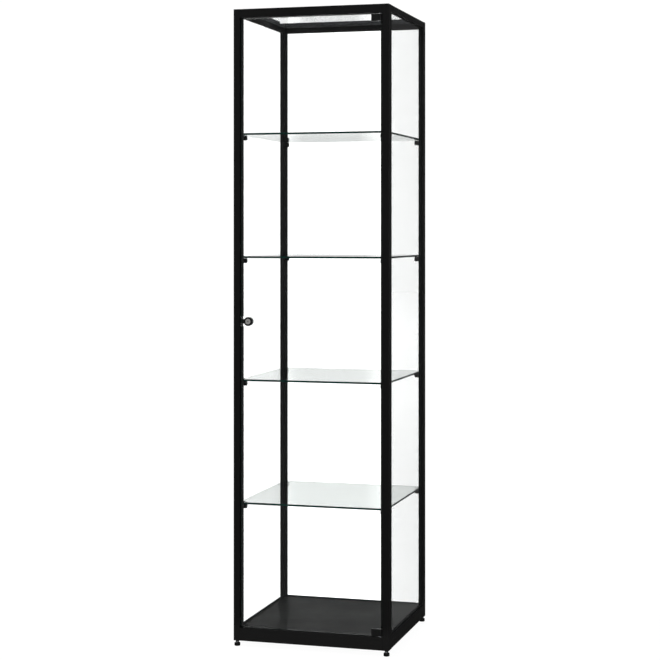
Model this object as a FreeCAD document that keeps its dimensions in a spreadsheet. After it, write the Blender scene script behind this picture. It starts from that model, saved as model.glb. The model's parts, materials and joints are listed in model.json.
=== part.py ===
import FreeCAD, Part
import math
import os
import re
import Sketcher

# Free-standing glass display case: a slim black metal frame on four levelling feet, glazed on
# three sides and on top, with four glass shelves and a glass door that swings on two pivots.
# Frame: millimetres, +Z up, the door faces -Y, the origin is on the floor under the middle.

# Driving sizes, in millimetres.
sizes = {
    # Whole case.
    "case_width": 500.0,          # outside, left to right
    "case_depth": 500.0,          # outside, front to back
    "case_height": 1990.0,        # floor to the top of the post caps and top rails
    "frame_lift": 17.5,           # floor to the underside of the frame, feet screwed in
    # Posts and rails, extruded profiles.
    "post_width": 20.0,           # all posts, and the side rails
    "front_post_depth": 38.0,
    "front_rail_depth": 30.0,
    "rear_post_depth": 33.0,
    "rear_rail_depth": 25.0,
    "top_rail_height": 27.5,      # over the door
    "side_top_rail_height": 20.0, # at the sides and the rear
    "base_rail_height": 40.0,
    "profile_wall": 1.8,
    "edge_radius": 1.2,           # outer long edges of the profiles
    "cap_thickness": 2.0,         # plates that close the tops of the posts
    "cap_plug_depth": 3.0,
    "cap_clearance": 0.2,
    # Glazing: every pane stands in a slot, wrapped in a rubber seal.
    "glass_thickness": 5.0,
    "seal_thickness": 1.0,        # rubber on each face of the glass
    "slot_depth": 5.0,
    "glass_bite": 4.0,            # how far a pane goes into its slot
    "seal_lip": 3.0,              # how far the seal shows beside the frame
    "side_glass_inset": 10.0,     # outside of the case to the middle of the side glass
    "rear_glass_inset": 10.0,
    "corner_notch_gap": 1.0,      # top glass round the posts
    "seal_notch_gap": 0.2,
    # Corner joiners: a block in the post with one arm in each rail.
    "joiner_clearance": 0.1,
    "joiner_reach": 25.0,         # arm in the rail
    "arm_width": 8.0,
    "top_arm_rise": 15.0,         # above the underside of the front rail
    "top_arm_height": 7.0,
    "top_joiner_height": 26.0,
    "base_arm_rise": 6.0,         # above the underside of the base rail
    "base_arm_height": 18.0,
    "base_joiner_height": 36.0,
    # Levelling feet, the same distance in from the outer faces at every corner.
    "foot_side_inset": 9.3,
    "foot_end_inset": 10.0,
    "foot_thread_diameter": 6.0,
    "foot_thread_play": 0.05,     # on the radius
    "foot_collar_diameter": 11.0,
    "foot_collar_height": 1.5,
    "foot_hex_flats": 10.0,
    "foot_hex_height": 5.0,
    "foot_stem_length": 37.0,     # above the hexagon
    "foot_pad_diameter": 18.5,
    "foot_pad_height": 10.0,
    "foot_pad_edge": 1.8,
    "foot_spigot_diameter": 5.0,
    "foot_spigot_length": 6.0,
    # Floor of the case.
    "panel_thickness": 12.0,
    "panel_gap": 1.0,
    "ledge_width": 8.0,
    "ledge_thickness": 3.0,
    "ledge_gap": 0.5,
    # Shelves, each on four studs in the posts.
    "shelf_thickness": 6.0,
    "lowest_shelf_rise": 385.2,   # floor panel to the underside of the lowest shelf
    "shelf_pitch": 384.8,
    "shelf_side_gap": 3.0,
    "shelf_notch_gap": 1.0,
    "clip_diameter": 16.0,
    "clip_reach": 13.0,
    "clip_nose": 1.5,
    "clip_flat": 1.0,
    "clip_setback": 4.0,          # stud axis from the inner end of the post face
    "clip_peg_diameter": 5.0,
    "clip_peg_depth": 5.0,
    "clip_peg_play": 0.05,
    "clip_pad_diameter": 3.4,
    "clip_pad_thickness": 1.0,
    "clip_pad_reach": 10.8,       # post face to the middle of the pad
    # Door.
    "door_thickness": 5.0,
    "door_setback": 4.5,          # front of the frame to the front of the glass
    "door_side_gap": 3.5,
    "door_end_gap": 4.0,
    "door_swing_gap": 4.0,        # back of the glass to the strips and shelves
    "strip_width": 8.0,
    "strip_depth": 5.0,
    "strip_end_gap": 0.5,
    "stop_lip_width": 2.0,
    "stop_lip_gap": 0.3,
    # Pivot hinges that clamp the glass.
    "clamp_plate": 3.0,
    "clamp_gasket": 0.5,
    "clamp_height": 21.0,
    "clamp_reach": 28.5,          # pivot axis to the free end
    "clamp_block_reach": 9.5,     # pivot axis to the full-thickness block's edge
    "clamp_post_gap": 1.5,
    "clamp_notch_gap": 0.5,
    "gasket_margin": 2.0,
    "hinge_screw_diameter": 4.0,
    "hinge_screw_play": 0.05,
    "hinge_screw_bite": 2.4,
    "hinge_screw_spacing": 8.0,
    "hinge_screw_setback": 5.0,   # free end of the clamp to the first screw
    "hinge_screw_head_diameter": 7.0,
    "hinge_screw_head_height": 1.8,
    "glass_screw_hole_diameter": 7.0,
    "pivot_pin_diameter": 6.0,
    "pivot_pin_depth": 14.0,      # in the clamp
    "pivot_pin_reach": 9.0,       # in the bush
    "pivot_collar_diameter": 10.0,
    "pivot_collar_height": 2.4,
    "pivot_end_play": 0.1,
    "pivot_running_play": 0.05,   # on the radius
    "bush_diameter": 9.0,
    "bush_length": 10.0,
    "bush_flange_diameter": 12.0,
    "bush_flange_height": 1.0,
    "bush_seat_play": 0.05,
    # Cylinder lock with a sliding bolt.
    "lock_height": 1014.5,
    "lock_backset": 23.5,         # edge of the glass to the lock axis
    "lock_hole_diameter": 18.0,
    "rosette_diameter": 28.0,
    "rosette_height": 4.0,
    "rosette_edge": 1.2,
    "barrel_head_diameter": 20.0,
    "barrel_diameter": 16.0,
    "barrel_play": 0.05,
    "plug_diameter": 11.0,
    "plug_recess": 0.6,
    "keyway_width": 1.8,
    "keyway_height": 6.5,
    "keyway_depth": 5.0,
    "lock_case_diameter": 26.0,
    "lock_case_wall": 1.5,
    "lock_case_front": 2.0,
    "lock_cover_thickness": 1.5,
    "lock_neck_height": 14.0,
    "lock_neck_gap": 0.5,         # edge of the glass to the end of the neck, outwards
    "crank_gap": 0.3,
    "crank_thickness": 2.0,
    "crank_rim": 1.0,
    "crank_pin_diameter": 2.5,
    "crank_pin_length": 4.0,
    "crank_pin_play": 0.3,
    "bolt_throw": 7.0,
    "bolt_height": 9.0,
    "bolt_thickness": 4.0,
    "bolt_play": 0.1,
    "bolt_front_gap": 0.5,
    "bolt_tip_gap": 0.2,          # bolt end past the end of the neck when drawn back
    "bolt_plate_width": 7.0,
    "bolt_plate_rise": 8.5,
    "strike_length": 30.0,
    "strike_width": 14.0,
    "strike_thickness": 1.5,
    "strike_clearance": 0.5,
    "strike_strip_gap": 1.0,
    "strike_screw_spacing": 22.0,
    "strike_screw_diameter": 3.0,
    "strike_screw_bite": 3.5,
    "strike_screw_play": 0.05,
    "strike_screw_head_diameter": 5.5,
    "strike_screw_head_height": 1.0,
    # Drive sockets in the screw heads.
    "socket_share": 0.45,         # across corners, as a share of the head
    "socket_depth": 0.8,
}

shelf_count = 4
left, right = -1, 1
front, rear = -1, 1
up = FreeCAD.Vector(0, 0, 1)
corner_names = {
    (left, front): "front_left",
    (right, front): "front_right",
    (left, rear): "rear_left",
    (right, rear): "rear_right",
}

doc = FreeCAD.newDocument("display_case")
sheet = doc.addObject("Spreadsheet::Sheet", "Sizes")
for row, (alias, value) in enumerate(sizes.items(), 1):
    sheet.set(f"A{row}", alias)
    sheet.set(f"B{row}", str(value))
    sheet.setAlias(f"B{row}", alias)
doc.recompute()

# Places worked out from the sizes, as expressions.
half_width = "(case_width / 2)"
half_depth = "(case_depth / 2)"
inner_x = "(case_width / 2 - post_width)"
front_inner_y = "(front_post_depth - case_depth / 2)"
front_rail_inner_y = "(front_rail_depth - case_depth / 2)"
rear_inner_y = "(case_depth / 2 - rear_post_depth)"
rear_rail_inner_y = "(case_depth / 2 - rear_rail_depth)"
post_length = "(case_height - cap_thickness - frame_lift)"
base_top = "(frame_lift + base_rail_height)"
top_rail_bottom = "(case_height - top_rail_height)"
side_rail_bottom = "(case_height - side_top_rail_height)"
slot_half = "(glass_thickness / 2 + seal_thickness)"
seal_base = "(slot_depth - glass_bite)"
side_glass_x = "(case_width / 2 - side_glass_inset)"
rear_glass_y = "(case_depth / 2 - rear_glass_inset)"
top_glass_z = "(case_height - glass_thickness / 2)"
top_rebate = "(glass_thickness + seal_thickness)"
door_front_y = "(door_setback - case_depth / 2)"
door_middle_y = "(door_setback + door_thickness / 2 - case_depth / 2)"
door_rear_y = "(door_setback + door_thickness - case_depth / 2)"
inner_line_y = "(door_setback + door_thickness + door_swing_gap - case_depth / 2)"
door_edge_x = "(case_width / 2 - post_width - door_side_gap)"
clamp_half = "(door_thickness / 2 + clamp_gasket + clamp_plate)"
pivot_x = f"({inner_x} - {clamp_half} - clamp_post_gap)"
clamp_gap = "(bush_flange_height + pivot_end_play + pivot_collar_height)"
clamp_end_x = f"({pivot_x} - clamp_reach)"
clamp_block_x = f"({pivot_x} - clamp_block_reach)"
lower_clamp_z = f"({base_top} + {clamp_gap})"
upper_clamp_z = f"({top_rail_bottom} - {clamp_gap} - clamp_height)"
lock_x = f"(lock_backset - {door_edge_x})"
shelf_bottom = [f"({base_top} + lowest_shelf_rise + {index} * shelf_pitch)" for index in range(shelf_count)]

nodes = []


def with_sheet(text):
    return re.sub(r"[a-z][a-z_]*", lambda word: prefixed(word.group()), text)


def prefixed(word):
    return "Sizes." + word if word in sizes else word


def bind(thing, name, text):
    thing.setExpression(name, with_sheet(text))


def set_base(thing, place):
    for axis, text in zip("xyz", place):
        bind(thing, f"Placement.Base.{axis}", text)


def keep(thing, solids=1):
    nodes.append((thing, solids))
    return thing


def new_body(label, place=("0", "0", "0"), rotation=None):
    body = doc.addObject("PartDesign::Body", label)
    body.Label = label
    if rotation is not None:
        body.Placement = FreeCAD.Placement(FreeCAD.Vector(), rotation)
    set_base(body, place)
    return body


def new_sketch(body, role):
    sketch = body.newObject("Sketcher::SketchObject", "section")
    plane = [feature for feature in body.Origin.OriginFeatures if feature.Role == role][0]
    sketch.AttachmentSupport = [(plane, "")]
    sketch.MapMode = "FlatFace"
    return sketch


def outline(sketch, corners):
    # A closed run of straight lines; every corner is held by its two distances from the origin.
    first = sketch.GeometryCount
    count = len(corners)
    turns = [2 * math.pi * index / count for index in range(count)]
    starts = [FreeCAD.Vector(math.cos(turn), math.sin(turn), 0) for turn in turns]
    for index in range(count):
        sketch.addGeometry(Part.LineSegment(starts[index], starts[(index + 1) % count]))
    for index in range(count):
        following = first + (index + 1) % count
        sketch.addConstraint(Sketcher.Constraint("Coincident", first + index, 2, following, 1))
    for index, (across, along) in enumerate(corners):
        hold_point(sketch, first + index, 1, starts[index], across, along)


def circle(sketch, across, along, radius):
    start = FreeCAD.Vector(1, 1, 0)
    index = sketch.addGeometry(Part.Circle(start, up, 1))
    hold_point(sketch, index, 3, start, across, along)
    number = sketch.addConstraint(Sketcher.Constraint("Radius", index, 1))
    bind(sketch, f"Constraints[{number}]", radius)


def hold_point(sketch, line, point, start, across, along):
    for kind, value, text in (("DistanceX", start.x, across), ("DistanceY", start.y, along)):
        number = sketch.addConstraint(Sketcher.Constraint(kind, line, point, value))
        bind(sketch, f"Constraints[{number}]", text)


def pad(body, sketch, length):
    feature = body.newObject("PartDesign::Pad", "pad")
    feature.Profile = sketch
    bind(feature, "Length", length)
    doc.recompute()
    return feature


def turn(body, role, corners, axis):
    # A solid of revolution about the sketch's own V_Axis or H_Axis.
    sketch = new_sketch(body, role)
    outline(sketch, corners)
    feature = body.newObject("PartDesign::Revolution", "turned")
    feature.Profile = sketch
    feature.ReferenceAxis = (sketch, [axis])
    feature.Angle = 360
    return feature


def block(body, kind, low, high):
    # kind is Additive or Subtractive.
    feature = body.newObject(f"PartDesign::{kind}Box", "block")
    for name, start, end in zip(("Length", "Width", "Height"), low, high):
        bind(feature, name, f"{end} - ({start})")
    set_base(feature, low)
    return feature


def rod(body, kind, base, axis, radius, length):
    feature = body.newObject(f"PartDesign::{kind}Cylinder", "rod")
    feature.Placement = FreeCAD.Placement(FreeCAD.Vector(), FreeCAD.Rotation(up, FreeCAD.Vector(*axis)))
    bind(feature, "Radius", radius)
    bind(feature, "Height", length)
    set_base(feature, base)
    return feature


def hexagon(body, kind, base, corner_radius, height):
    feature = body.newObject(f"PartDesign::{kind}Prism", "hexagon")
    feature.Polygon = 6
    bind(feature, "Circumradius", corner_radius)
    bind(feature, "Height", height)
    set_base(feature, base)
    return feature


def round_edges(body, direction, corners):
    # Round the edges along one direction (0, 1 or 2) that pass through the given corners.
    doc.recompute()
    tip = body.Tip
    others = [axis for axis in range(3) if axis != direction]
    names = []
    for number, edge in enumerate(tip.Shape.Edges, 1):
        ends = [vertex.Point for vertex in edge.Vertexes]
        straight = len(ends) == 2 and all(abs(ends[0][axis] - ends[1][axis]) < 1e-6 for axis in others)
        spot = tuple(ends[0][axis] for axis in others)
        if straight and any(math.dist(spot, corner) < 1e-6 for corner in corners):
            names.append(f"Edge{number}")
    feature = body.newObject("PartDesign::Fillet", "rounding")
    feature.Base = (tip, names)
    bind(feature, "Radius", "edge_radius")
    doc.recompute()


def plate(label, low, high):
    box = doc.addObject("Part::Box", label)
    box.Label = label
    for name, start, end in zip(("Length", "Width", "Height"), low, high):
        bind(box, name, f"{end} - ({start})")
    set_base(box, low)
    return box


def cut(label, base, tool):
    result = doc.addObject("Part::Cut", label)
    result.Label = label
    result.Base = base
    result.Tool = tool
    return result


def group(label, members):
    result = doc.addObject("Part::Compound", label)
    result.Label = label
    result.Links = members
    return keep(result, len(members))


def socket_screw(label, place, axis, diameter, length, head_diameter, head_height):
    # The seat of the head is at the place, and the head stands out along the axis.
    screw = new_body(label, place, FreeCAD.Rotation(up, FreeCAD.Vector(*axis)))
    rod(screw, "Additive", ("0", "0", f"0 - ({length})"), (0, 0, 1), f"{diameter} / 2", length)
    rod(screw, "Additive", ("0", "0", "0"), (0, 0, 1), f"{head_diameter} / 2", head_height)
    socket = ("0", "0", f"{head_height} - socket_depth")
    hexagon(screw, "Subtractive", socket, f"{head_diameter} / 2 * socket_share", "socket_depth")
    return screw


# Corners of the case. Lengths run inwards from the outer edge of a post: across is from the side,
# along is from the front or rear, and rise is above the underside of the frame.

def corner_place(side, end, rise="0"):
    return (f"{side} * {half_width}", f"{end} * {half_depth}", f"frame_lift + {rise}")


def post_depth(end):
    return "front_post_depth" if end == front else "rear_post_depth"


def rail_depth(end):
    return "front_rail_depth" if end == front else "rear_rail_depth"


def inwards(sign, low, high):
    return (f"0 - ({high})", f"0 - ({low})") if sign > 0 else (low, high)


def corner_block(body, kind, side, end, across, along, rise):
    x_low, x_high = inwards(side, *across)
    y_low, y_high = inwards(end, *along)
    return block(body, kind, (x_low, y_low, rise[0]), (x_high, y_high, rise[1]))


def chamber_across(end):
    return "post_width - profile_wall" if end == front else "post_width - slot_depth - profile_wall"


def chamber_along(end):
    return f"{post_depth(end)} - slot_depth - profile_wall"


def arm_across():
    middle = "(post_width - slot_depth) / 2"
    return f"{middle} - arm_width / 2", f"{middle} + arm_width / 2"


def arm_along(end):
    middle = f"({post_depth(end)} - slot_depth) / 2"
    return f"{middle} - arm_width / 2", f"{middle} + arm_width / 2"


def widened(span, gap):
    return f"{span[0]} - {gap}", f"{span[1]} + {gap}"


top_arm = (
    f"{top_rail_bottom} - frame_lift + top_arm_rise",
    f"{top_rail_bottom} - frame_lift + top_arm_rise + top_arm_height",
)
base_arm = ("base_arm_rise", "base_arm_rise + base_arm_height")


def post_section(side, end):
    depth = post_depth(end)
    low = f"side_glass_inset - {slot_half}"
    high = f"side_glass_inset + {slot_half}"
    corners = [("0", "0"), ("post_width", "0")]
    if end == rear:
        near = f"rear_glass_inset - {slot_half}"
        far = f"rear_glass_inset + {slot_half}"
        bottom = "post_width - slot_depth"
        corners += [("post_width", near), (bottom, near), (bottom, far), ("post_width", far)]
    corners += [("post_width", depth), (high, depth), (high, f"{depth} - slot_depth")]
    corners += [(low, f"{depth} - slot_depth"), (low, depth), ("0", depth)]
    hollow_across = ("profile_wall", chamber_across(end))
    hollow_along = ("profile_wall", chamber_along(end))
    hollow = [(hollow_across[0], hollow_along[0]), (hollow_across[1], hollow_along[0])]
    hollow += [(hollow_across[1], hollow_along[1]), (hollow_across[0], hollow_along[1])]
    return [[(f"{-side} * ({u})", f"{-end} * ({v})") for u, v in run] for run in (corners, hollow)]


def clip_along(end):
    return f"({post_depth(end)} - clip_setback)"


def clip_axis_z(index):
    return f"({shelf_bottom[index]} - clip_pad_thickness + clip_flat - clip_diameter / 2)"


def make_post(side, end):
    body = new_body(f"post_{corner_names[side, end]}", corner_place(side, end))
    sketch = new_sketch(body, "XY_Plane")
    for run in post_section(side, end):
        outline(sketch, run)
    pad(body, sketch, post_length)
    width = sizes["post_width"]
    depth = sizes[post_depth(end)]
    round_edges(body, 2, [(-side * u, -end * v) for u in (0, width) for v in (0, depth)])
    # Windows for the joiner arms, open at the ends of the post.
    wall_across = (chamber_across(end), "post_width")
    wall_along = (chamber_along(end), post_depth(end))
    top_window_rise = (f"{top_arm[0]} - joiner_clearance", post_length)
    base_window_rise = ("0", f"{base_arm[1]} + joiner_clearance")
    for rise in (top_window_rise, base_window_rise):
        to_cross_rail = widened(arm_along(end), "joiner_clearance")
        to_side_rail = widened(arm_across(), "joiner_clearance")
        corner_block(body, "Subtractive", side, end, wall_across, to_cross_rail, rise)
        corner_block(body, "Subtractive", side, end, to_side_rail, wall_along, rise)
    # Holes for the shelf studs, one above another in the inner face.
    for index in range(shelf_count):
        rise = f"{clip_axis_z(index)} - frame_lift"
        mouth = (f"{-side} * post_width", f"{-end} * {clip_along(end)}", rise)
        radius = "clip_peg_diameter / 2 + clip_peg_play"
        rod(body, "Subtractive", mouth, (side, 0, 0), radius, "clip_peg_depth")
    if (side, end) == (left, front):
        cut_strike(body)
    return keep(body)


bolt_front_y = f"({door_rear_y} + lock_case_front + crank_gap + crank_thickness + bolt_front_gap)"
bolt_middle_y = f"({bolt_front_y} + bolt_thickness / 2)"
strike_slot_half_y = "(bolt_thickness / 2 + strike_clearance)"
strike_slot_half_z = "(bolt_height / 2 + strike_clearance)"


def cut_strike(post):
    # Mouth for the bolt and two screw holes in the inner wall of the post.
    middle = f"({bolt_middle_y} + {half_depth})"
    rise = "(lock_height - frame_lift)"
    low = (chamber_across(front), f"{middle} - {strike_slot_half_y}", f"{rise} - {strike_slot_half_z}")
    high = ("post_width", f"{middle} + {strike_slot_half_y}", f"{rise} + {strike_slot_half_z}")
    block(post, "Subtractive", low, high)
    for sign in (-1, 1):
        place = (chamber_across(front), middle, f"{rise} + {sign} * strike_screw_spacing / 2")
        radius = "strike_screw_diameter / 2 + strike_screw_play"
        rod(post, "Subtractive", place, (1, 0, 0), radius, "profile_wall")


# Rails between the posts. Each section is drawn across (inwards from the outer face) and up.

def rail(label, place, role, sign, section, length, depth_name, height_name):
    # sign turns the across direction of the section into the row's own axis.
    body = new_body(label, place)
    sketch = new_sketch(body, role)
    for run in section:
        outline(sketch, [(f"{sign} * ({across})", height) for across, height in run])
    pad(body, sketch, length)
    depth = sizes[depth_name]
    height = sizes[height_name]
    along = 0 if role == "YZ_Plane" else 1
    round_edges(body, along, [(sign * across, level) for across in (0, depth) for level in (0, height)])
    return body


def rectangle(low, high):
    return [(low[0], low[1]), (high[0], low[1]), (high[0], high[1]), (low[0], high[1])]


def top_section(depth, height, glass_inset=None):
    # The top pane lies in a rebate along the inner edge; a pane below stands in a slot in the underside.
    ledge = f"{height} - {top_rebate}"
    bottom = f"{depth} - slot_depth"
    run = [("0", "0")]
    floor_level = "profile_wall"
    if glass_inset:
        near, far = f"{glass_inset} - {slot_half}", f"{glass_inset} + {slot_half}"
        run += [(near, "0"), (near, "slot_depth"), (far, "slot_depth"), (far, "0")]
        floor_level = "slot_depth + profile_wall"
    run += [(depth, "0"), (depth, ledge), (bottom, ledge), (bottom, height), ("0", height)]
    roof = (f"{bottom} - profile_wall", f"{height} - profile_wall")
    hollow = rectangle(("profile_wall", floor_level), roof)
    return [run, hollow]


def base_section(depth, height, glass_inset=None):
    # A ledge on the inner face carries the floor panel; a pane stands in a slot in the top.
    ledge_top = f"({height} - panel_thickness)"
    ledge_end = f"{depth} + ledge_width"
    run = [("0", "0"), (depth, "0"), (depth, f"{ledge_top} - ledge_thickness")]
    run += [(ledge_end, f"{ledge_top} - ledge_thickness"), (ledge_end, ledge_top), (depth, ledge_top)]
    run += [(depth, height)]
    roof_level = f"{height} - profile_wall"
    if glass_inset:
        near, far = f"{glass_inset} - {slot_half}", f"{glass_inset} + {slot_half}"
        bottom = f"{height} - slot_depth"
        run += [(far, height), (far, bottom), (near, bottom), (near, height)]
        roof_level = f"{bottom} - profile_wall"
    run += [("0", height)]
    hollow = rectangle(("profile_wall", "profile_wall"), (f"{depth} - profile_wall", roof_level))
    return [run, hollow]


def rail_height(level, end):
    if level == "base":
        return "base_rail_height"
    return "top_rail_height" if end == front else "side_top_rail_height"


def make_rails(level, section):
    cross_length = f"2 * {inner_x}"
    side_length = f"{rear_inner_y} - {front_inner_y}"
    rails = {}
    for end, name in ((front, "front"), (rear, "rear")):
        inset = None if end == front else "rear_glass_inset"
        depth, height = rail_depth(end), rail_height(level, end)
        bottom = f"(case_height - {height})" if level == "top" else "frame_lift"
        place = (f"0 - {inner_x}", f"{end} * {half_depth}", bottom)
        profile = section(depth, height, inset)
        label = f"{level}_rail_{name}"
        rails[name] = rail(label, place, "YZ_Plane", -end, profile, cross_length, depth, height)
    for side, name in ((left, "left"), (right, "right")):
        height = rail_height(level, rear)
        bottom = f"(case_height - {height})" if level == "top" else "frame_lift"
        place = (f"{side} * {half_width}", rear_inner_y, bottom)
        profile = section("post_width", height, "side_glass_inset")
        label = f"{level}_rail_{name}"
        rails[name] = rail(label, place, "XZ_Plane", -side, profile, side_length, "post_width", height)
    return rails


def cut_ledge_ends(body, end):
    # The ledges of the front and rear rails stop short of those of the side rails.
    depth = rail_depth(end)
    low_y, high_y = inwards(end, depth, f"{depth} + ledge_width")
    high_z = "base_rail_height - panel_thickness"
    low_z = f"{high_z} - ledge_thickness"
    stop = "(ledge_width + ledge_gap)"
    length = f"2 * {inner_x}"
    block(body, "Subtractive", ("0", low_y, low_z), (stop, high_y, high_z))
    block(body, "Subtractive", (f"{length} - {stop}", low_y, low_z), (length, high_y, high_z))


def cut_bush_seat(body, base_z):
    spot = (f"{pivot_x} + {inner_x}", f"{door_middle_y} + {half_depth}", base_z)
    rod(body, "Subtractive", spot, (0, 0, 1), "bush_diameter / 2 + bush_seat_play", "profile_wall")


for side, end in corner_names:
    make_post(side, end)

top_rails = make_rails("top", top_section)
base_rails = make_rails("base", base_section)
cut_bush_seat(top_rails["front"], "0")
cut_bush_seat(base_rails["front"], "base_rail_height - profile_wall")
cut_ledge_ends(base_rails["front"], front)
cut_ledge_ends(base_rails["rear"], rear)
for body in (*top_rails.values(), *base_rails.values()):
    keep(body)


# Joiners, caps and feet at the corners.

def make_joiner(label, side, end, arm, rise):
    body = new_body(label, corner_place(side, end))
    gap = "joiner_clearance"
    across = (f"profile_wall + {gap}", f"{chamber_across(end)} - {gap}")
    along = (f"profile_wall + {gap}", f"{chamber_along(end)} - {gap}")
    corner_block(body, "Additive", side, end, across, along, rise)
    cross_arm = (across[1], "post_width + joiner_reach")
    side_arm = (along[1], f"{post_depth(end)} + joiner_reach")
    corner_block(body, "Additive", side, end, cross_arm, arm_along(end), arm)
    corner_block(body, "Additive", side, end, arm_across(), side_arm, arm)
    return body


def foot_spot(side, end):
    return f"{-side} * foot_side_inset", f"{-end} * foot_end_inset"


def make_base_joiner(label, side, end):
    # The foot screws into a collar under the block.
    body = make_joiner(label, side, end, base_arm, ("0", "base_joiner_height"))
    x, y = foot_spot(side, end)
    low = (x, y, "0 - foot_collar_height")
    rod(body, "Additive", low, (0, 0, 1), "foot_collar_diameter / 2", "foot_collar_height")
    radius = "foot_thread_diameter / 2 + foot_thread_play"
    rod(body, "Subtractive", low, (0, 0, 1), radius, "foot_collar_height + base_joiner_height")
    return body


def make_cap(label, side, end):
    body = new_body(label, corner_place(side, end, post_length))
    depth = post_depth(end)
    corner_block(body, "Additive", side, end, ("0", "post_width"), ("0", depth), ("0", "cap_thickness"))
    outer = [(-side * u, -end * v) for u in (0, sizes["post_width"]) for v in (0, sizes[depth])]
    round_edges(body, 2, outer)
    across = ("profile_wall + cap_clearance", f"{chamber_across(end)} - cap_clearance")
    along = ("profile_wall + cap_clearance", f"{chamber_along(end)} - cap_clearance")
    corner_block(body, "Additive", side, end, across, along, ("0 - cap_plug_depth", "0"))
    return body


top_block_top = f"{post_length} - cap_plug_depth - cap_clearance"
top_block = (f"{top_block_top} - top_joiner_height", top_block_top)
top_joiners = []
base_joiners = []
caps = []
for (side, end), name in corner_names.items():
    top_joiners.append(make_joiner(f"top_joiner_{name}", side, end, top_arm, top_block))
    base_joiners.append(make_base_joiner(f"base_joiner_{name}", side, end))
    caps.append(make_cap(f"cap_{name}", side, end))
group("top_corner_joiners", top_joiners)
group("base_corner_joiners", base_joiners)
group("post_caps", caps)


def make_foot_pad(label, place):
    body = new_body(label, place)
    radius = "foot_pad_diameter / 2"
    bore = "foot_spigot_diameter / 2 + foot_thread_play"
    well = "foot_pad_height - foot_spigot_length - foot_thread_play"
    inner_rim = f"{radius} - foot_pad_edge"
    corners = [("0", "0"), (inner_rim, "0"), (radius, "foot_pad_edge")]
    corners += [(radius, "foot_pad_height - foot_pad_edge"), (inner_rim, "foot_pad_height")]
    corners += [(bore, "foot_pad_height"), (bore, well), ("0", well)]
    turn(body, "XZ_Plane", corners, "V_Axis")
    return keep(body)


def make_foot_screw(label, place):
    # Spigot in the pad, hexagon for a spanner, and a threaded stem up into the post.
    body = new_body(label, place)
    spigot = ("0", "0", "foot_pad_height - foot_spigot_length")
    rod(body, "Additive", spigot, (0, 0, 1), "foot_spigot_diameter / 2", "foot_spigot_length")
    corner_radius = f"foot_hex_flats / {math.sqrt(3)}"
    hexagon(body, "Additive", ("0", "0", "foot_pad_height"), corner_radius, "foot_hex_height")
    stem = ("0", "0", "foot_pad_height + foot_hex_height")
    rod(body, "Additive", stem, (0, 0, 1), "foot_thread_diameter / 2", "foot_stem_length")
    return keep(body)


for (side, end), name in corner_names.items():
    x, y = foot_spot(side, end)
    place = (f"{side} * {half_width} + {x}", f"{end} * {half_depth} + {y}", "0")
    make_foot_pad(f"foot_pad_{name}", place)
    make_foot_screw(f"foot_screw_{name}", place)


# Floor panel, panes and their seals.

panel_low = (f"panel_gap - {inner_x}", f"{front_rail_inner_y} + panel_gap", f"{base_top} - panel_thickness")
panel_high = (f"{inner_x} - panel_gap", f"{rear_rail_inner_y} - panel_gap", base_top)
keep(plate("base_panel", panel_low, panel_high))

pane_low_z = f"{base_top} - glass_bite"
pane_high_z = f"{side_rail_bottom} + glass_bite"
pane_front_y = f"{front_inner_y} - glass_bite"
pane_rear_y = f"{rear_inner_y} + glass_bite"
pane_half_x = f"({inner_x} + glass_bite)"


def grown(low, high, amounts):
    wider_low = tuple(f"{text} - ({amount})" for text, amount in zip(low, amounts))
    wider_high = tuple(f"{text} + {amount}" for text, amount in zip(high, amounts))
    return wider_low, wider_high


def make_pane(label, seal_label, low, high, thin):
    # thin is the axis across the glass; the seal is a channel round all four edges.
    glass = keep(plate(label, low, high))
    outer = [seal_base] * 3
    outer[thin] = "seal_thickness"
    inner = ["0 - glass_bite - seal_lip"] * 3
    inner[thin] = "2 * seal_thickness"
    body = plate(f"{seal_label}_blank", *grown(low, high, outer))
    window = plate(f"{seal_label}_window", *grown(low, high, inner))
    keep(cut(seal_label, cut(f"{seal_label}_channel", body, glass), window))


for side, name in ((left, "left"), (right, "right")):
    low = (f"{side} * {side_glass_x} - glass_thickness / 2", pane_front_y, pane_low_z)
    high = (f"{side} * {side_glass_x} + glass_thickness / 2", pane_rear_y, pane_high_z)
    make_pane(f"side_glass_{name}", f"side_seal_{name}", low, high, 0)

rear_low = (f"0 - {pane_half_x}", f"{rear_glass_y} - glass_thickness / 2", pane_low_z)
rear_high = (pane_half_x, f"{rear_glass_y} + glass_thickness / 2", pane_high_z)
make_pane("rear_glass", "rear_seal", rear_low, rear_high, 1)


def notched_corners(x, y_low, y_high, notch_x, notch_low, notch_high):
    # A sheet with its four corners cut away round the posts; x and notch_x are half widths.
    right_half = [(x, notch_low), (x, notch_high), (notch_x, notch_high), (notch_x, y_high)]
    left_half = [(f"0 - {across}", along) for across, along in reversed(right_half)]
    lower = [(f"0 - {notch_x}", notch_low), (f"0 - {notch_x}", y_low)]
    lower += [(notch_x, y_low), (notch_x, notch_low)]
    return right_half + left_half + lower


def top_sheet(label, bottom, thickness, spread, gap):
    body = new_body(label, ("0", "0", bottom))
    sketch = new_sketch(body, "XY_Plane")
    front_edge = f"{front_rail_inner_y} - glass_bite - {spread}"
    rear_edge = f"{rear_rail_inner_y} + glass_bite + {spread}"
    edges = (f"({pane_half_x} + {spread})", front_edge, rear_edge)
    notches = (f"({inner_x} - {gap})", f"{front_inner_y} + {gap}", f"{rear_inner_y} - {gap}")
    outline(sketch, notched_corners(*edges, *notches))
    pad(body, sketch, thickness)
    return body


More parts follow.
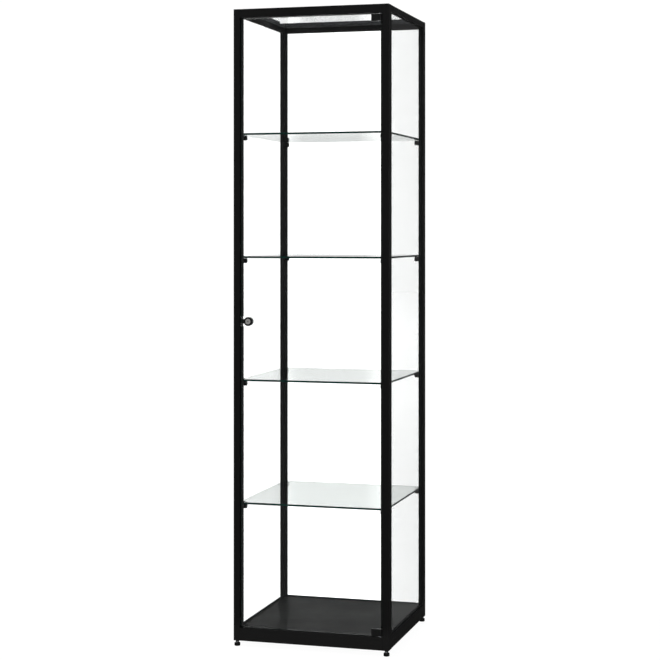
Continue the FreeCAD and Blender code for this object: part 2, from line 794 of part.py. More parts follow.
pane_bottom = f"{top_glass_z} - glass_thickness / 2"
top_glass = keep(top_sheet("top_glass", pane_bottom, "glass_thickness", "0", "corner_notch_gap"))
top_blank = top_sheet(
    "top_seal_blank", f"case_height - {top_rebate}", top_rebate, seal_base, "seal_notch_gap"
)
window_low = (f"seal_lip - {inner_x}", f"{front_rail_inner_y} + seal_lip", f"{top_glass_z} - 2 * {slot_half}")
window_high = (f"{inner_x} - seal_lip", f"{rear_rail_inner_y} - seal_lip", f"{top_glass_z} + 2 * {slot_half}")
top_window = plate("top_seal_window", window_low, window_high)
keep(cut("top_seal", cut("top_seal_channel", top_blank, top_glass), top_window))


# Shelves on their studs.

def make_shelf(label, bottom):
    body = new_body(label, ("0", "0", bottom))
    sketch = new_sketch(body, "XY_Plane")
    half = f"({side_glass_x} - glass_thickness / 2 - shelf_side_gap)"
    back = f"({rear_glass_y} - glass_thickness / 2 - shelf_side_gap)"
    rear_x = f"({inner_x} - shelf_notch_gap)"
    rear_y = f"({rear_inner_y} - shelf_notch_gap)"
    front_x = f"({inner_x} - strip_width - shelf_notch_gap)"
    front_y = f"({front_inner_y} + shelf_notch_gap)"
    right_half = [(front_x, inner_line_y), (front_x, front_y), (half, front_y)]
    right_half += [(half, rear_y), (rear_x, rear_y), (rear_x, back)]
    left_half = [(f"0 - {across}", along) for across, along in reversed(right_half)]
    outline(sketch, right_half + left_half)
    pad(body, sketch, "shelf_thickness")
    return keep(body)


def make_clip(label, place, side):
    # A turned stud with a peg in the post, a chamfered nose and a flat on top.
    body = new_body(label, place, FreeCAD.Rotation(up, 180 if side == right else 0))
    radius = "clip_diameter / 2"
    peg = "clip_peg_diameter / 2"
    corners = [("0 - clip_peg_depth", "0"), ("0 - clip_peg_depth", peg), ("0", peg), ("0", radius)]
    corners += [("clip_reach - clip_nose", radius), ("clip_reach", f"{radius} - clip_nose")]
    corners += [("clip_reach", "0")]
    turn(body, "XZ_Plane", corners, "H_Axis")
    low = ("0", f"0 - {radius}", f"{radius} - clip_flat")
    high = ("clip_reach", radius, radius)
    block(body, "Subtractive", low, high)
    return body


def make_clip_pad(label, place):
    disc = doc.addObject("Part::Cylinder", label)
    bind(disc, "Radius", "clip_pad_diameter / 2")
    bind(disc, "Height", "clip_pad_thickness")
    set_base(disc, place)
    return disc


shelf_pads = []
for index in range(shelf_count):
    number = index + 1
    make_shelf(f"shelf_{number}", shelf_bottom[index])
    clips = []
    for (side, end), name in corner_names.items():
        y = f"{end} * ({half_depth} - {clip_along(end)})"
        face = (f"{side} * {inner_x}", y, clip_axis_z(index))
        clips.append(make_clip(f"clip_{number}_{name}", face, side))
        spot = (f"{side} * ({inner_x} - clip_pad_reach)", y, f"{shelf_bottom[index]} - clip_pad_thickness")
        shelf_pads.append(make_clip_pad(f"pad_{number}_{name}", spot))
    group(f"shelf_clips_{number}", clips)
group("shelf_pads", shelf_pads)


# Strips beside the door: a plain dust strip at the hinges, and a stop with a soft lip at the lock.

strip_low_z = f"({base_top} + strip_end_gap)"
strip_high_z = f"({top_rail_bottom} - strip_end_gap)"
strip_low = (f"{inner_x} - strip_width", inner_line_y, strip_low_z)
strip_high = (inner_x, f"{inner_line_y} + strip_depth", strip_high_z)
keep(plate("hinge_dust_strip", strip_low, strip_high))

strike_half = "(strike_length / 2 + strike_strip_gap)"


def make_stop_strip(label, low_z, high_z):
    body = new_body(label, ("0", "0", low_z))
    sketch = new_sketch(body, "XY_Plane")
    outer = f"0 - {inner_x}"
    inner = f"strip_width - {inner_x}"
    back = f"{inner_line_y} + strip_depth"
    tip = f"{door_rear_y} + stop_lip_gap"
    corners = [(outer, back), (outer, inner_line_y), (f"{inner} - stop_lip_width", inner_line_y)]
    corners += [(f"{inner} - stop_lip_width", tip), (inner, tip), (inner, back)]
    outline(sketch, corners)
    pad(body, sketch, f"{high_z} - ({low_z})")
    return body


lower_strip = make_stop_strip("stop_strip_lower", strip_low_z, f"lock_height - {strike_half}")
upper_strip = make_stop_strip("stop_strip_upper", f"lock_height + {strike_half}", strip_high_z)
group("door_stop_strips", [lower_strip, upper_strip])


# Door glass with cut-outs for the hinges and a hole for the lock.

def hinge_screw_x(index):
    return f"({clamp_end_x} + hinge_screw_setback + {index} * hinge_screw_spacing)"


def clamp_middle(bottom):
    return f"({bottom} + clamp_height / 2)"


def make_door_glass():
    body = new_body("door_glass", ("0", door_rear_y, "0"))
    sketch = new_sketch(body, "XZ_Plane")
    low = f"{base_top} + door_end_gap"
    high = f"{top_rail_bottom} - door_end_gap"
    notch_x = f"{clamp_block_x} - clamp_notch_gap"
    notch_low = f"{lower_clamp_z} + clamp_height + clamp_notch_gap"
    notch_high = f"{upper_clamp_z} - clamp_notch_gap"
    free_x = f"0 - {door_edge_x}"
    corners = [(free_x, low), (notch_x, low), (notch_x, notch_low), (door_edge_x, notch_low)]
    corners += [(door_edge_x, notch_high), (notch_x, notch_high), (notch_x, high), (free_x, high)]
    outline(sketch, corners)
    circle(sketch, lock_x, "lock_height", "lock_hole_diameter / 2")
    for bottom in (lower_clamp_z, upper_clamp_z):
        for index in range(2):
            circle(sketch, hinge_screw_x(index), clamp_middle(bottom), "glass_screw_hole_diameter / 2")
    pad(body, sketch, "door_thickness")
    return keep(body)


make_door_glass()


# Pivot hinges: a clamp body with a round knuckle, a rear plate, gaskets, screws and a pin.

def screw_holes(body, mouth_y, length):
    for index in range(2):
        spot = (hinge_screw_x(index), mouth_y, "clamp_height / 2")
        radius = "hinge_screw_diameter / 2 + hinge_screw_play"
        rod(body, "Subtractive", spot, (0, -1, 0), radius, length)


def make_clamp_body(label, bottom, pin_mouth, pin_direction):
    body = new_body(label, ("0", "0", bottom))
    sketch = new_sketch(body, "XY_Plane")
    front_y = f"{door_middle_y} - {clamp_half}"
    rear_y = f"{door_middle_y} + {clamp_half}"
    seat_y = f"{door_front_y} - clamp_gasket"
    corners = [(clamp_end_x, front_y), (pivot_x, front_y), (pivot_x, rear_y)]
    corners += [(clamp_block_x, rear_y), (clamp_block_x, seat_y), (clamp_end_x, seat_y)]
    outline(sketch, corners)
    pad(body, sketch, "clamp_height")
    rod(body, "Additive", (pivot_x, door_middle_y, "0"), (0, 0, 1), clamp_half, "clamp_height")
    radius = "pivot_pin_diameter / 2 + pivot_running_play"
    mouth = (pivot_x, door_middle_y, pin_mouth)
    rod(body, "Subtractive", mouth, (0, 0, pin_direction), radius, "pivot_pin_depth")
    screw_holes(body, seat_y, "hinge_screw_bite + hinge_screw_play")
    return keep(body)


def make_clamp_plate(label, bottom):
    body = new_body(label, ("0", "0", bottom))
    low_y = f"{door_rear_y} + clamp_gasket"
    high_y = f"{low_y} + clamp_plate"
    high = (f"{clamp_block_x} - clamp_notch_gap", high_y, "clamp_height")
    block(body, "Additive", (clamp_end_x, low_y, "0"), high)
    screw_holes(body, high_y, "clamp_plate")
    return body


def make_gasket(label, bottom, low_y):
    body = new_body(label, ("0", "0", bottom))
    low = (clamp_end_x, low_y, "gasket_margin")
    high = (f"{clamp_block_x} - clamp_notch_gap", f"{low_y} + clamp_gasket", "clamp_height - gasket_margin")
    block(body, "Additive", low, high)
    screw_holes(body, high[1], "clamp_gasket")
    return body


def make_pivot_pin(label, seat, direction):
    # The seat is the end face of the clamp; the collar and the pivot stand out along the direction.
    flip = FreeCAD.Rotation(FreeCAD.Vector(1, 0, 0), 0 if direction > 0 else 180)
    body = new_body(label, (pivot_x, door_middle_y, seat), flip)
    pin = "pivot_pin_diameter / 2"
    collar = "pivot_collar_diameter / 2"
    tip = "pivot_collar_height + pivot_end_play + bush_flange_height + pivot_pin_reach"
    corners = [("0", "0 - pivot_pin_depth"), (pin, "0 - pivot_pin_depth"), (pin, "0"), (collar, "0")]
    corners += [(collar, "pivot_collar_height"), (pin, "pivot_collar_height"), (pin, tip), ("0", tip)]
    turn(body, "XZ_Plane", corners, "V_Axis")
    return body


def make_bush(label, seat, direction):
    # The seat is the face of the rail; the flange stands out along the direction.
    flip = FreeCAD.Rotation(FreeCAD.Vector(1, 0, 0), 0 if direction > 0 else 180)
    body = new_body(label, (pivot_x, door_middle_y, seat), flip)
    bore = "pivot_pin_diameter / 2 + pivot_running_play"
    sleeve = "bush_diameter / 2"
    flange = "bush_flange_diameter / 2"
    corners = [(bore, "0 - bush_length"), (sleeve, "0 - bush_length"), (sleeve, "0"), (flange, "0")]
    corners += [(flange, "bush_flange_height"), (bore, "bush_flange_height")]
    turn(body, "XZ_Plane", corners, "V_Axis")
    return body


hinge_ends = (
    ("bottom", lower_clamp_z, "0", 1, lower_clamp_z, -1, base_top, 1),
    ("top", upper_clamp_z, "clamp_height", -1, f"{upper_clamp_z} + clamp_height", 1, top_rail_bottom, -1),
)
clamp_plates = []
gaskets = []
hinge_screws = []
pins = []
bushes = []
screw_length = "clamp_plate + 2 * clamp_gasket + door_thickness + hinge_screw_bite"
plate_back_y = f"{door_middle_y} + {clamp_half}"
for name, bottom, mouth, bore_way, pin_seat, pin_way, bush_seat, bush_way in hinge_ends:
    make_clamp_body(f"hinge_clamp_{name}", bottom, mouth, bore_way)
    clamp_plates.append(make_clamp_plate(f"clamp_plate_{name}", bottom))
    gaskets.append(make_gasket(f"gasket_front_{name}", bottom, f"{door_front_y} - clamp_gasket"))
    gaskets.append(make_gasket(f"gasket_rear_{name}", bottom, door_rear_y))
    for index in range(2):
        seat = (hinge_screw_x(index), plate_back_y, clamp_middle(bottom))
        hinge_screws.append(socket_screw(
            f"hinge_screw_{name}_{index + 1}", seat, (0, 1, 0), "hinge_screw_diameter", screw_length,
            "hinge_screw_head_diameter", "hinge_screw_head_height",
        ))
    pins.append(make_pivot_pin(f"pivot_pin_{name}", pin_seat, pin_way))
    bushes.append(make_bush(f"pivot_bush_{name}", bush_seat, bush_way))
group("hinge_plates", clamp_plates)
group("hinge_gaskets", gaskets)
group("hinge_screws", hinge_screws)
group("pivot_pins", pins)
group("pivot_bushes", bushes)


# Cylinder lock. Along the lock axis, positions run back from the front of the glass.

lock_place = (lock_x, door_front_y, "lock_height")
case_front = "door_thickness"
case_inside = "(door_thickness + lock_case_front)"
crank_front = f"({case_inside} + crank_gap)"
crank_back = f"({crank_front} + crank_thickness)"
bolt_front = f"({crank_back} + bolt_front_gap)"
cover_front = f"({bolt_front} + bolt_thickness + bolt_play)"
crank_arm = f"(bolt_throw * {math.sqrt(0.5)})"
pin_offset = "(bolt_throw / 2)"
neck_end = "(0 - lock_backset - lock_neck_gap)"
case_radius = "lock_case_diameter / 2"


def make_rosette():
    body = new_body("lock_rosette", lock_place)
    hole = "barrel_head_diameter / 2 + barrel_play"
    rim = "rosette_diameter / 2"
    face = "0 - rosette_height"
    corners = [(hole, "0"), (rim, "0"), (rim, f"{face} + rosette_edge")]
    corners += [(f"{rim} - rosette_edge", face), (hole, face)]
    turn(body, "XY_Plane", corners, "V_Axis")
    return keep(body)


def make_barrel():
    body = new_body("lock_barrel", lock_place)
    bore = "plug_diameter / 2 + barrel_play"
    head = "barrel_head_diameter / 2"
    shank = "barrel_diameter / 2"
    face = "0 - rosette_height"
    corners = [(bore, face), (head, face), (head, "0")]
    corners += [(shank, "0"), (shank, case_inside), (bore, case_inside)]
    turn(body, "XY_Plane", corners, "V_Axis")
    return keep(body)


def make_plug():
    # The plug with its keyway, and the crank disc and pin that draw the bolt.
    body = new_body("lock_plug", lock_place)
    face = "plug_recess - rosette_height"
    rod(body, "Additive", ("0", face, "0"), (0, 1, 0), "plug_diameter / 2", f"{crank_front} - ({face})")
    disc = f"{crank_arm} + crank_pin_diameter / 2 + crank_rim"
    rod(body, "Additive", ("0", crank_front, "0"), (0, 1, 0), disc, "crank_thickness")
    spot = (pin_offset, crank_back, pin_offset)
    rod(body, "Additive", spot, (0, 1, 0), "crank_pin_diameter / 2", "crank_pin_length")
    low = ("0 - keyway_width / 2", face, "0 - keyway_height / 2")
    high = ("keyway_width / 2", f"{face} + keyway_depth", "keyway_height / 2")
    block(body, "Subtractive", low, high)
    return keep(body)


def make_lock_case():
    # A round case behind the glass with a neck that guides the bolt towards the post.
    body = new_body("lock_case", lock_place)
    depth = f"{cover_front} - {case_front}"
    rod(body, "Additive", ("0", case_front, "0"), (0, 1, 0), case_radius, depth)
    neck_low = (neck_end, case_front, "0 - lock_neck_height / 2")
    neck_high = ("0", cover_front, "lock_neck_height / 2")
    block(body, "Additive", neck_low, neck_high)
    hollow = f"{case_radius} - lock_case_wall"
    rod(body, "Subtractive", ("0", case_inside, "0"), (0, 1, 0), hollow, f"{cover_front} - {case_inside}")
    channel_low = (neck_end, f"{bolt_front} - bolt_play", "0 - bolt_height / 2 - bolt_play")
    channel_high = ("0", cover_front, "bolt_height / 2 + bolt_play")
    block(body, "Subtractive", channel_low, channel_high)
    radius = "barrel_diameter / 2 + barrel_play"
    rod(body, "Subtractive", ("0", case_front, "0"), (0, 1, 0), radius, "lock_case_front")
    return keep(body)


def make_lock_cover():
    body = new_body("lock_cover", lock_place)
    rod(body, "Additive", ("0", cover_front, "0"), (0, 1, 0), case_radius, "lock_cover_thickness")
    low = (neck_end, cover_front, "0 - lock_neck_height / 2")
    high = ("0", f"{cover_front} + lock_cover_thickness", "lock_neck_height / 2")
    block(body, "Additive", low, high)
    return keep(body)


def make_bolt():
    # A tongue in the neck and a plate with an upright slot for the crank pin.
    body = new_body("lock_bolt", (lock_x, f"{door_front_y} + {bolt_front} + bolt_thickness", "lock_height"))
    sketch = new_sketch(body, "XZ_Plane")
    tip = f"{neck_end} - bolt_tip_gap"
    half = "bolt_height / 2"
    corners = [(tip, f"0 - {half}"), ("bolt_plate_width", f"0 - {half}")]
    corners += [("bolt_plate_width", "bolt_plate_rise"), ("0", "bolt_plate_rise"), ("0", half), (tip, half)]
    outline(sketch, corners)
    play = "(crank_pin_diameter / 2 + crank_pin_play)"
    low = (f"{pin_offset} - {play}", f"{pin_offset} - {play}")
    high = (f"{pin_offset} + {play}", f"{crank_arm} + {play}")
    outline(sketch, rectangle(low, high))
    pad(body, sketch, "bolt_thickness")
    return keep(body)


make_rosette()
make_barrel()
make_plug()
make_lock_case()
make_lock_cover()
make_bolt()


def make_strike_plate():
    # Plate on the inner face of the lock-side post, with a mouth for the bolt.
    body = new_body("strike_plate", (f"0 - {inner_x}", bolt_middle_y, "lock_height"))
    low = ("0", "0 - strike_width / 2", "0 - strike_length / 2")
    high = ("strike_thickness", "strike_width / 2", "strike_length / 2")
    block(body, "Additive", low, high)
    mouth_low = ("0", f"0 - {strike_slot_half_y}", f"0 - {strike_slot_half_z}")
    mouth_high = ("strike_thickness", strike_slot_half_y, strike_slot_half_z)
    block(body, "Subtractive", mouth_low, mouth_high)
    for sign in (-1, 1):
        spot = ("0", "0", f"{sign} * strike_screw_spacing / 2")
        radius = "strike_screw_diameter / 2 + strike_screw_play"
        rod(body, "Subtractive", spot, (1, 0, 0), radius, "strike_thickness")
    return keep(body)


make_strike_plate()
strike_screws = []
for sign, name in ((-1, "lower"), (1, "upper")):
    height = f"lock_height + {sign} * strike_screw_spacing / 2"
    seat = (f"strike_thickness - {inner_x}", bolt_middle_y, height)
    length = "strike_thickness + strike_screw_bite"
    strike_screws.append(socket_screw(
        f"strike_screw_{name}", seat, (1, 0, 0), "strike_screw_diameter", length,
        "strike_screw_head_diameter", "strike_screw_head_height",
    ))
group("strike_screws", strike_screws)


# Check every object and every cut, then write one file for each sub-part.

doc.recompute()
for thing in doc.Objects:
    if "Invalid" in thing.State or "Error" in thing.State:
        raise RuntimeError(f"{thing.Name} failed: {thing.State}")
    if thing.TypeId.startswith("PartDesign::Subtractive"):
        removed = thing.BaseFeature.Shape.Volume - thing.Shape.Volume
        if removed <= 0:
            raise RuntimeError(f"{thing.Name} cuts nothing")

os.makedirs("parts", exist_ok=True)
for thing, solids in nodes:
    shape = thing.Shape
    if shape.isNull() or not shape.isValid():
        raise RuntimeError(f"{thing.Label} has no valid shape")
    if len(shape.Solids) != solids:
        raise RuntimeError(f"{thing.Label} has {len(shape.Solids)} solids, not {solids}")
for thing, solids in nodes:
    thing.Shape.exportStep(os.path.join("parts", f"{thing.Label}.step"))
print(f"{len(nodes)} sub-parts written")
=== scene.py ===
import json
import math

import bmesh
import bpy
from mathutils import Matrix, Vector

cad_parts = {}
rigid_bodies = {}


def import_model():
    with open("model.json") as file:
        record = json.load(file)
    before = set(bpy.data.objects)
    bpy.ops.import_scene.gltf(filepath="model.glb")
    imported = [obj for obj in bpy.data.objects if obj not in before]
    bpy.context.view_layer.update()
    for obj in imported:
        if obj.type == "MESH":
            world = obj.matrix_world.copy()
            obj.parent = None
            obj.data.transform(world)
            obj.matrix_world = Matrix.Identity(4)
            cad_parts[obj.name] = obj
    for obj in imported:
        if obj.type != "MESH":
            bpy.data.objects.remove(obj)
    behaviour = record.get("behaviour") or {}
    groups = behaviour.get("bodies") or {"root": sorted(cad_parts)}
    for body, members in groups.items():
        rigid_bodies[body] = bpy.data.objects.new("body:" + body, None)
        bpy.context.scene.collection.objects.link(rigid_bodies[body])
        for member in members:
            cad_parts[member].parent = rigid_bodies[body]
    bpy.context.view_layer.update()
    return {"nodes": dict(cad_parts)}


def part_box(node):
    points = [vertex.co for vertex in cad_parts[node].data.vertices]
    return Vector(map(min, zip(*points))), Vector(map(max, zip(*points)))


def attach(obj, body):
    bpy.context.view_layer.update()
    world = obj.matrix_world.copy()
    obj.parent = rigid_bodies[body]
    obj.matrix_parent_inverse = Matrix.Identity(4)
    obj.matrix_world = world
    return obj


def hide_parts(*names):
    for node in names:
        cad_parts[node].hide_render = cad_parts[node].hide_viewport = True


for leftover in list(bpy.data.objects):
    bpy.data.objects.remove(leftover)

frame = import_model()
cadNodes = frame["nodes"]
scene = bpy.context.scene
mm = 0.001
quarterTurn = math.pi / 2
fullTurn = 2 * math.pi
origin = (0.0, 0.0, 0.0)
axisX, axisY, axisZ = (1.0, 0.0, 0.0), (0.0, 1.0, 0.0), (0.0, 0.0, 1.0)
white, black = (1.0, 1.0, 1.0, 1.0), (0.0, 0.0, 0.0, 1.0)
corners = ("front_left", "front_right", "rear_left", "rear_right")
shelfNumbers = range(1, 5)
print("frame loaded:", len(cadNodes), "nodes")


cameraView = {
    "place": (1.50298, -5.23587, 1.29565),
    "turn": 16.10,  # degrees to the left of straight on
    "focal": 1687.8,  # in picture dots
    "picture": 660.0,
    "horizon": 231.43,  # row of the picture at eye level
    "sensor": 36.0,
}


def placeCamera(view):
    lens = bpy.data.cameras.new("caseCamera")
    lens.sensor_width = view["sensor"]
    lens.lens = view["focal"] / view["picture"] * view["sensor"]
    lens.shift_y = view["horizon"] / view["picture"] - 0.5
    camera = bpy.data.objects.new("caseCamera", lens)
    camera.location = view["place"]
    camera.rotation_euler = (quarterTurn, 0.0, math.radians(view["turn"]))
    scene.collection.objects.link(camera)
    scene.camera = camera


placeCamera(cameraView)
print("camera placed")


# a number or a colour is set on the socket, anything else is linked to it
def feed(tree, value, socket):
    if isinstance(value, (int, float, tuple)):
        socket.default_value = value
    else:
        tree.links.new(value, socket)


def addMath(tree, operation, *values):
    node = tree.nodes.new("ShaderNodeMath")
    node.operation = operation
    for value, socket in zip(values, node.inputs):
        feed(tree, value, socket)
    return node.outputs[0]


def addVector(tree, operation, *values):
    node = tree.nodes.new("ShaderNodeVectorMath")
    node.operation = operation
    for value, socket in zip(values, node.inputs):
        feed(tree, value, socket)
    return node.outputs["Value" if operation in ("LENGTH", "DOT_PRODUCT") else "Vector"]


def addShares(tree, first, firstShare, second, secondShare):
    scaled = addMath(tree, "MULTIPLY", first, firstShare)
    return addMath(tree, "ADD", scaled, addMath(tree, "MULTIPLY", second, secondShare))


def addRange(tree, value, fromLow, fromHigh, toLow, toHigh):
    node = tree.nodes.new("ShaderNodeMapRange")
    limits = {"From Min": fromLow, "From Max": fromHigh, "To Min": toLow, "To Max": toHigh}
    for label, number in limits.items():
        node.inputs[label].default_value = number
    tree.links.new(value, node.inputs["Value"])
    return node.outputs["Result"]


def addNoise(tree, vector, scale, detail):
    node = tree.nodes.new("ShaderNodeTexNoise")
    node.inputs["Detail"].default_value = detail
    feed(tree, scale, node.inputs["Scale"])
    tree.links.new(vector, node.inputs["Vector"])
    return node.outputs["Fac"]


def takeHeight(tree, vector):
    node = tree.nodes.new("ShaderNodeSeparateXYZ")
    tree.links.new(vector, node.inputs[0])
    return node.outputs["Z"]


def mixColours(tree, fac, first, second):
    node = tree.nodes.new("ShaderNodeMix")
    node.data_type = "RGBA"
    tree.links.new(fac, node.inputs[0])
    for value, socket in ((first, node.inputs[6]), (second, node.inputs[7])):
        feed(tree, value + (1.0,) if isinstance(value, tuple) else value, socket)
    return node.outputs[2]


def addBump(tree, shader, height, strength, depth):
    bump = tree.nodes.new("ShaderNodeBump")
    bump.inputs["Strength"].default_value = strength
    bump.inputs["Distance"].default_value = depth
    tree.links.new(height, bump.inputs["Height"])
    tree.links.new(bump.outputs["Normal"], shader.inputs["Normal"])


def startFinish(name, values):
    finish = bpy.data.materials.new(name)
    finish.use_nodes = True
    tree = finish.node_tree
    shader = tree.nodes["Principled BSDF"]
    for label, value in values.items():
        shader.inputs[label].default_value = value
    coords = tree.nodes.new("ShaderNodeTexCoord").outputs["Object"]
    return finish, tree, shader, coords


def makeObject(bm, name, materials):
    mesh = bpy.data.meshes.new(name)
    bm.to_mesh(mesh)
    bm.free()
    for material in materials:
        mesh.materials.append(material)
    made = bpy.data.objects.new(name, mesh)
    scene.collection.objects.link(made)
    return made


studioLook = {
    "backdrop": 1.03,  # what the eye sees behind the case
    "backdropThrough": 1.80,  # and through its glass
    "wall": 0.80,  # the same wall as the surfaces mirror it
    "room": 0.05,  # and the dim room round it
    "wallMiddle": (-0.276, 0.958, 0.08),
    "wallAcross": (0.961, 0.277, 0.0),
    "wallFlanks": 1.65,  # times brighter beside its middle
    "flankFade": (0.02, 0.035),
    "wallEdge": (0.885, 0.965),  # cosines from the middle, outside and inside
    "floorNear": 0.97,  # the floor at the feet, as the eye sees it
    "nearFade": (0.5, 3.0),  # metres over which it turns into the backdrop
    "farFloor": 1.7,  # the floor that runs up to the wall, as the surfaces mirror it
    "farRise": (3.0, 8.0),
    "farFade": (17.0, 29.0),  # where it takes on the wall's strength
    "floorMirrored": 0.03,
    "floorSize": 30.0,
    "floorPaper": {
        "Base Color": (0.12, 0.12, 0.12, 1.0), "Roughness": 0.9, "Specular IOR Level": 0.1,
        "Emission Color": white,
    },
    "cardGlow": {"Base Color": black, "Emission Color": white, "Emission Strength": 1.8},
    "cardSize": (0.028, 0.029, 1.0),
    "cardPlace": (-0.1955, 0.10, 1.9700),
}

softBoxes = {
    "overhead": {"place": (-0.6, -0.6, 4.6), "aim": (0.0, 0.0, 1.0), "size": (3.2, 3.2), "power": 70.0},
    "leftBank": {"place": (-4.4, -1.2, 1.7), "aim": (0.0, 0.0, 1.1), "size": (1.4, 3.0), "power": 26.0},
    "rightBank": {"place": (4.2, 1.6, 1.9), "aim": (0.0, 0.0, 1.1), "size": (1.2, 3.0), "power": 18.0},
    "frontFill": {"place": (2.2, -5.9, 1.0), "aim": (0.0, 0.0, 0.6), "size": (3.0, 1.6), "power": 58.0},
}


# a light strength that differs for what is looked at straight, through glass, or in a mirror
def strengthByRay(tree, straight, through, mirrored):
    path = tree.nodes.new("ShaderNodeLightPath")
    turns = addMath(tree, "ADD", path.outputs["Glossy Depth"], path.outputs["Diffuse Depth"])
    unturned = addMath(tree, "LESS_THAN", turns, 0.5)
    crossed = addMath(tree, "MULTIPLY", path.outputs["Is Transmission Ray"], unturned)
    direct = path.outputs["Is Camera Ray"]
    rest = addMath(tree, "SUBTRACT", addMath(tree, "SUBTRACT", 1.0, direct), crossed)
    seen = addShares(tree, direct, straight, crossed, through)
    return addMath(tree, "ADD", seen, addMath(tree, "MULTIPLY", rest, mirrored))


# how much of the lit wall lies in a direction: 0 outside it, 1 in its middle, more on its flanks
def wallOutline(tree, toward, look):
    inward = addVector(tree, "DOT_PRODUCT", toward, look["wallMiddle"])
    share = addRange(tree, inward, *look["wallEdge"], 0.0, 1.0)
    share.node.interpolation_type = "SMOOTHSTEP"
    beside = addMath(tree, "ABSOLUTE", addVector(tree, "DOT_PRODUCT", toward, look["wallAcross"]))
    flanks = addRange(tree, beside, *look["flankFade"], 1.0, look["wallFlanks"])
    return addMath(tree, "MULTIPLY", share, flanks)


def lightWorld(look):
    world = bpy.data.worlds.new("whiteStudio")
    world.use_nodes = True
    scene.world = world
    tree = world.node_tree
    sky = tree.nodes["Background"]
    sky.inputs["Color"].default_value = white
    toward = tree.nodes.new("ShaderNodeTexCoord").outputs["Generated"]
    wall = addMath(tree, "MULTIPLY", wallOutline(tree, toward, look), look["wall"])
    mirrored = addMath(tree, "ADD", wall, look["room"])
    strength = strengthByRay(tree, look["backdrop"], look["backdropThrough"], mirrored)
    tree.links.new(strength, sky.inputs["Strength"])


def layFloor(look):
    finish, tree, shader, spot = startFinish("floorPaper", look["floorPaper"])
    away = addVector(tree, "LENGTH", spot)
    toward = addVector(tree, "NORMALIZE", spot)
    straight = addRange(tree, away, *look["nearFade"], look["floorNear"], look["backdrop"])
    far = addRange(tree, away, *look["farRise"], 0.0, look["farFloor"])
    fade = addRange(tree, away, *look["farFade"], 1.0, look["wall"] / look["farFloor"])
    far = addMath(tree, "MULTIPLY", far, fade)
    farWall = addMath(tree, "MULTIPLY", far, wallOutline(tree, toward, look))
    mirrored = addMath(tree, "ADD", farWall, look["floorMirrored"])
    strength = strengthByRay(tree, straight, look["backdropThrough"], mirrored)
    tree.links.new(strength, shader.inputs["Emission Strength"])
    bm = bmesh.new()
    bmesh.ops.create_grid(bm, x_segments=2, y_segments=2, size=look["floorSize"])
    floor = makeObject(bm, "studioFloor", (finish,))


# a glowing card under the top pane, seen only in mirror images, whose painted reflection
# keeps the rear left post out of the opening
def hangCard(look):
    finish = startFinish("cardGlow", look["cardGlow"])[0]
    bm = bmesh.new()
    bmesh.ops.create_grid(bm, x_segments=1, y_segments=1, size=0.5)
    bmesh.ops.scale(bm, verts=bm.verts[:], vec=look["cardSize"])
    bmesh.ops.rotate(bm, verts=bm.verts[:], cent=origin, matrix=Matrix.Rotation(quarterTurn, 3, "X"))
    bmesh.ops.translate(bm, verts=bm.verts[:], vec=look["cardPlace"])
    card = makeObject(bm, "mirrorCard", (finish,))
    card.visible_camera = card.visible_diffuse = False
    card.visible_transmission = card.visible_shadow = False


def hangSoftBoxes(boxes):
    for name, box in boxes.items():
        lamp = bpy.data.lights.new(name, "AREA")
        lamp.shape = "RECTANGLE"
        lamp.size, lamp.size_y = box["size"]
        lamp.energy = box["power"]
        holder = bpy.data.objects.new(name, lamp)
        holder.location = box["place"]
        aim = Vector(box["aim"]) - Vector(box["place"])
        holder.rotation_euler = aim.to_track_quat("-Z", "Y").to_euler()
        holder.visible_camera = False
        holder.visible_transmission = False
        scene.collection.objects.link(holder)


lightWorld(studioLook)
layFloor(studioLook)
hangCard(studioLook)
hangSoftBoxes(softBoxes)
scene.view_settings.view_transform = "Standard"
scene.view_settings.look = "None"
print("studio dressed")


def newGroup(name, inputs, outputs):
    tree = bpy.data.node_groups.new(name, "ShaderNodeTree")
    for label, kind, value in inputs:
        socket = tree.interface.new_socket(name=label, in_out="INPUT", socket_type=kind)
        if value is not None:
            socket.default_value = value
    for label in outputs:
        tree.interface.new_socket(name=label, in_out="OUTPUT", socket_type="NodeSocketFloat")
    return tree, tree.nodes.new("NodeGroupInput"), tree.nodes.new("NodeGroupOutput")


vectorInput = ("Vector", "NodeSocketVector", None)
skinMix = {"ripple": 1.0, "grain": 2.0, "finer": 3.1, "grainShare": 0.4, "speckle": (0.3, 0.7)}


# fine skin of a coat or a moulding: a broad ripple and a grain on it
def buildCoatSkin(look):
    inputs = (vectorInput, ("Grains per metre", "NodeSocketFloat", 1000.0))
    tree, begin, end = newGroup("coatSkin", inputs, ("Height", "Speckle"))
    vector, scale = begin.outputs["Vector"], begin.outputs["Grains per metre"]
    ripple = addNoise(tree, vector, scale, look["ripple"])
    grain = addNoise(tree, vector, addMath(tree, "MULTIPLY", scale, look["finer"]), look["grain"])
    height = addMath(tree, "ADD", ripple, addMath(tree, "MULTIPLY", grain, look["grainShare"]))
    tree.links.new(height, end.inputs["Height"])
    tree.links.new(addRange(tree, grain, *look["speckle"], 0.0, 1.0), end.inputs["Speckle"])
    return tree


markMix = {"broad": 3.0, "fine": 4.0, "finer": 7.0, "shares": (0.7, 0.3), "contrast": (0.35, 0.65)}


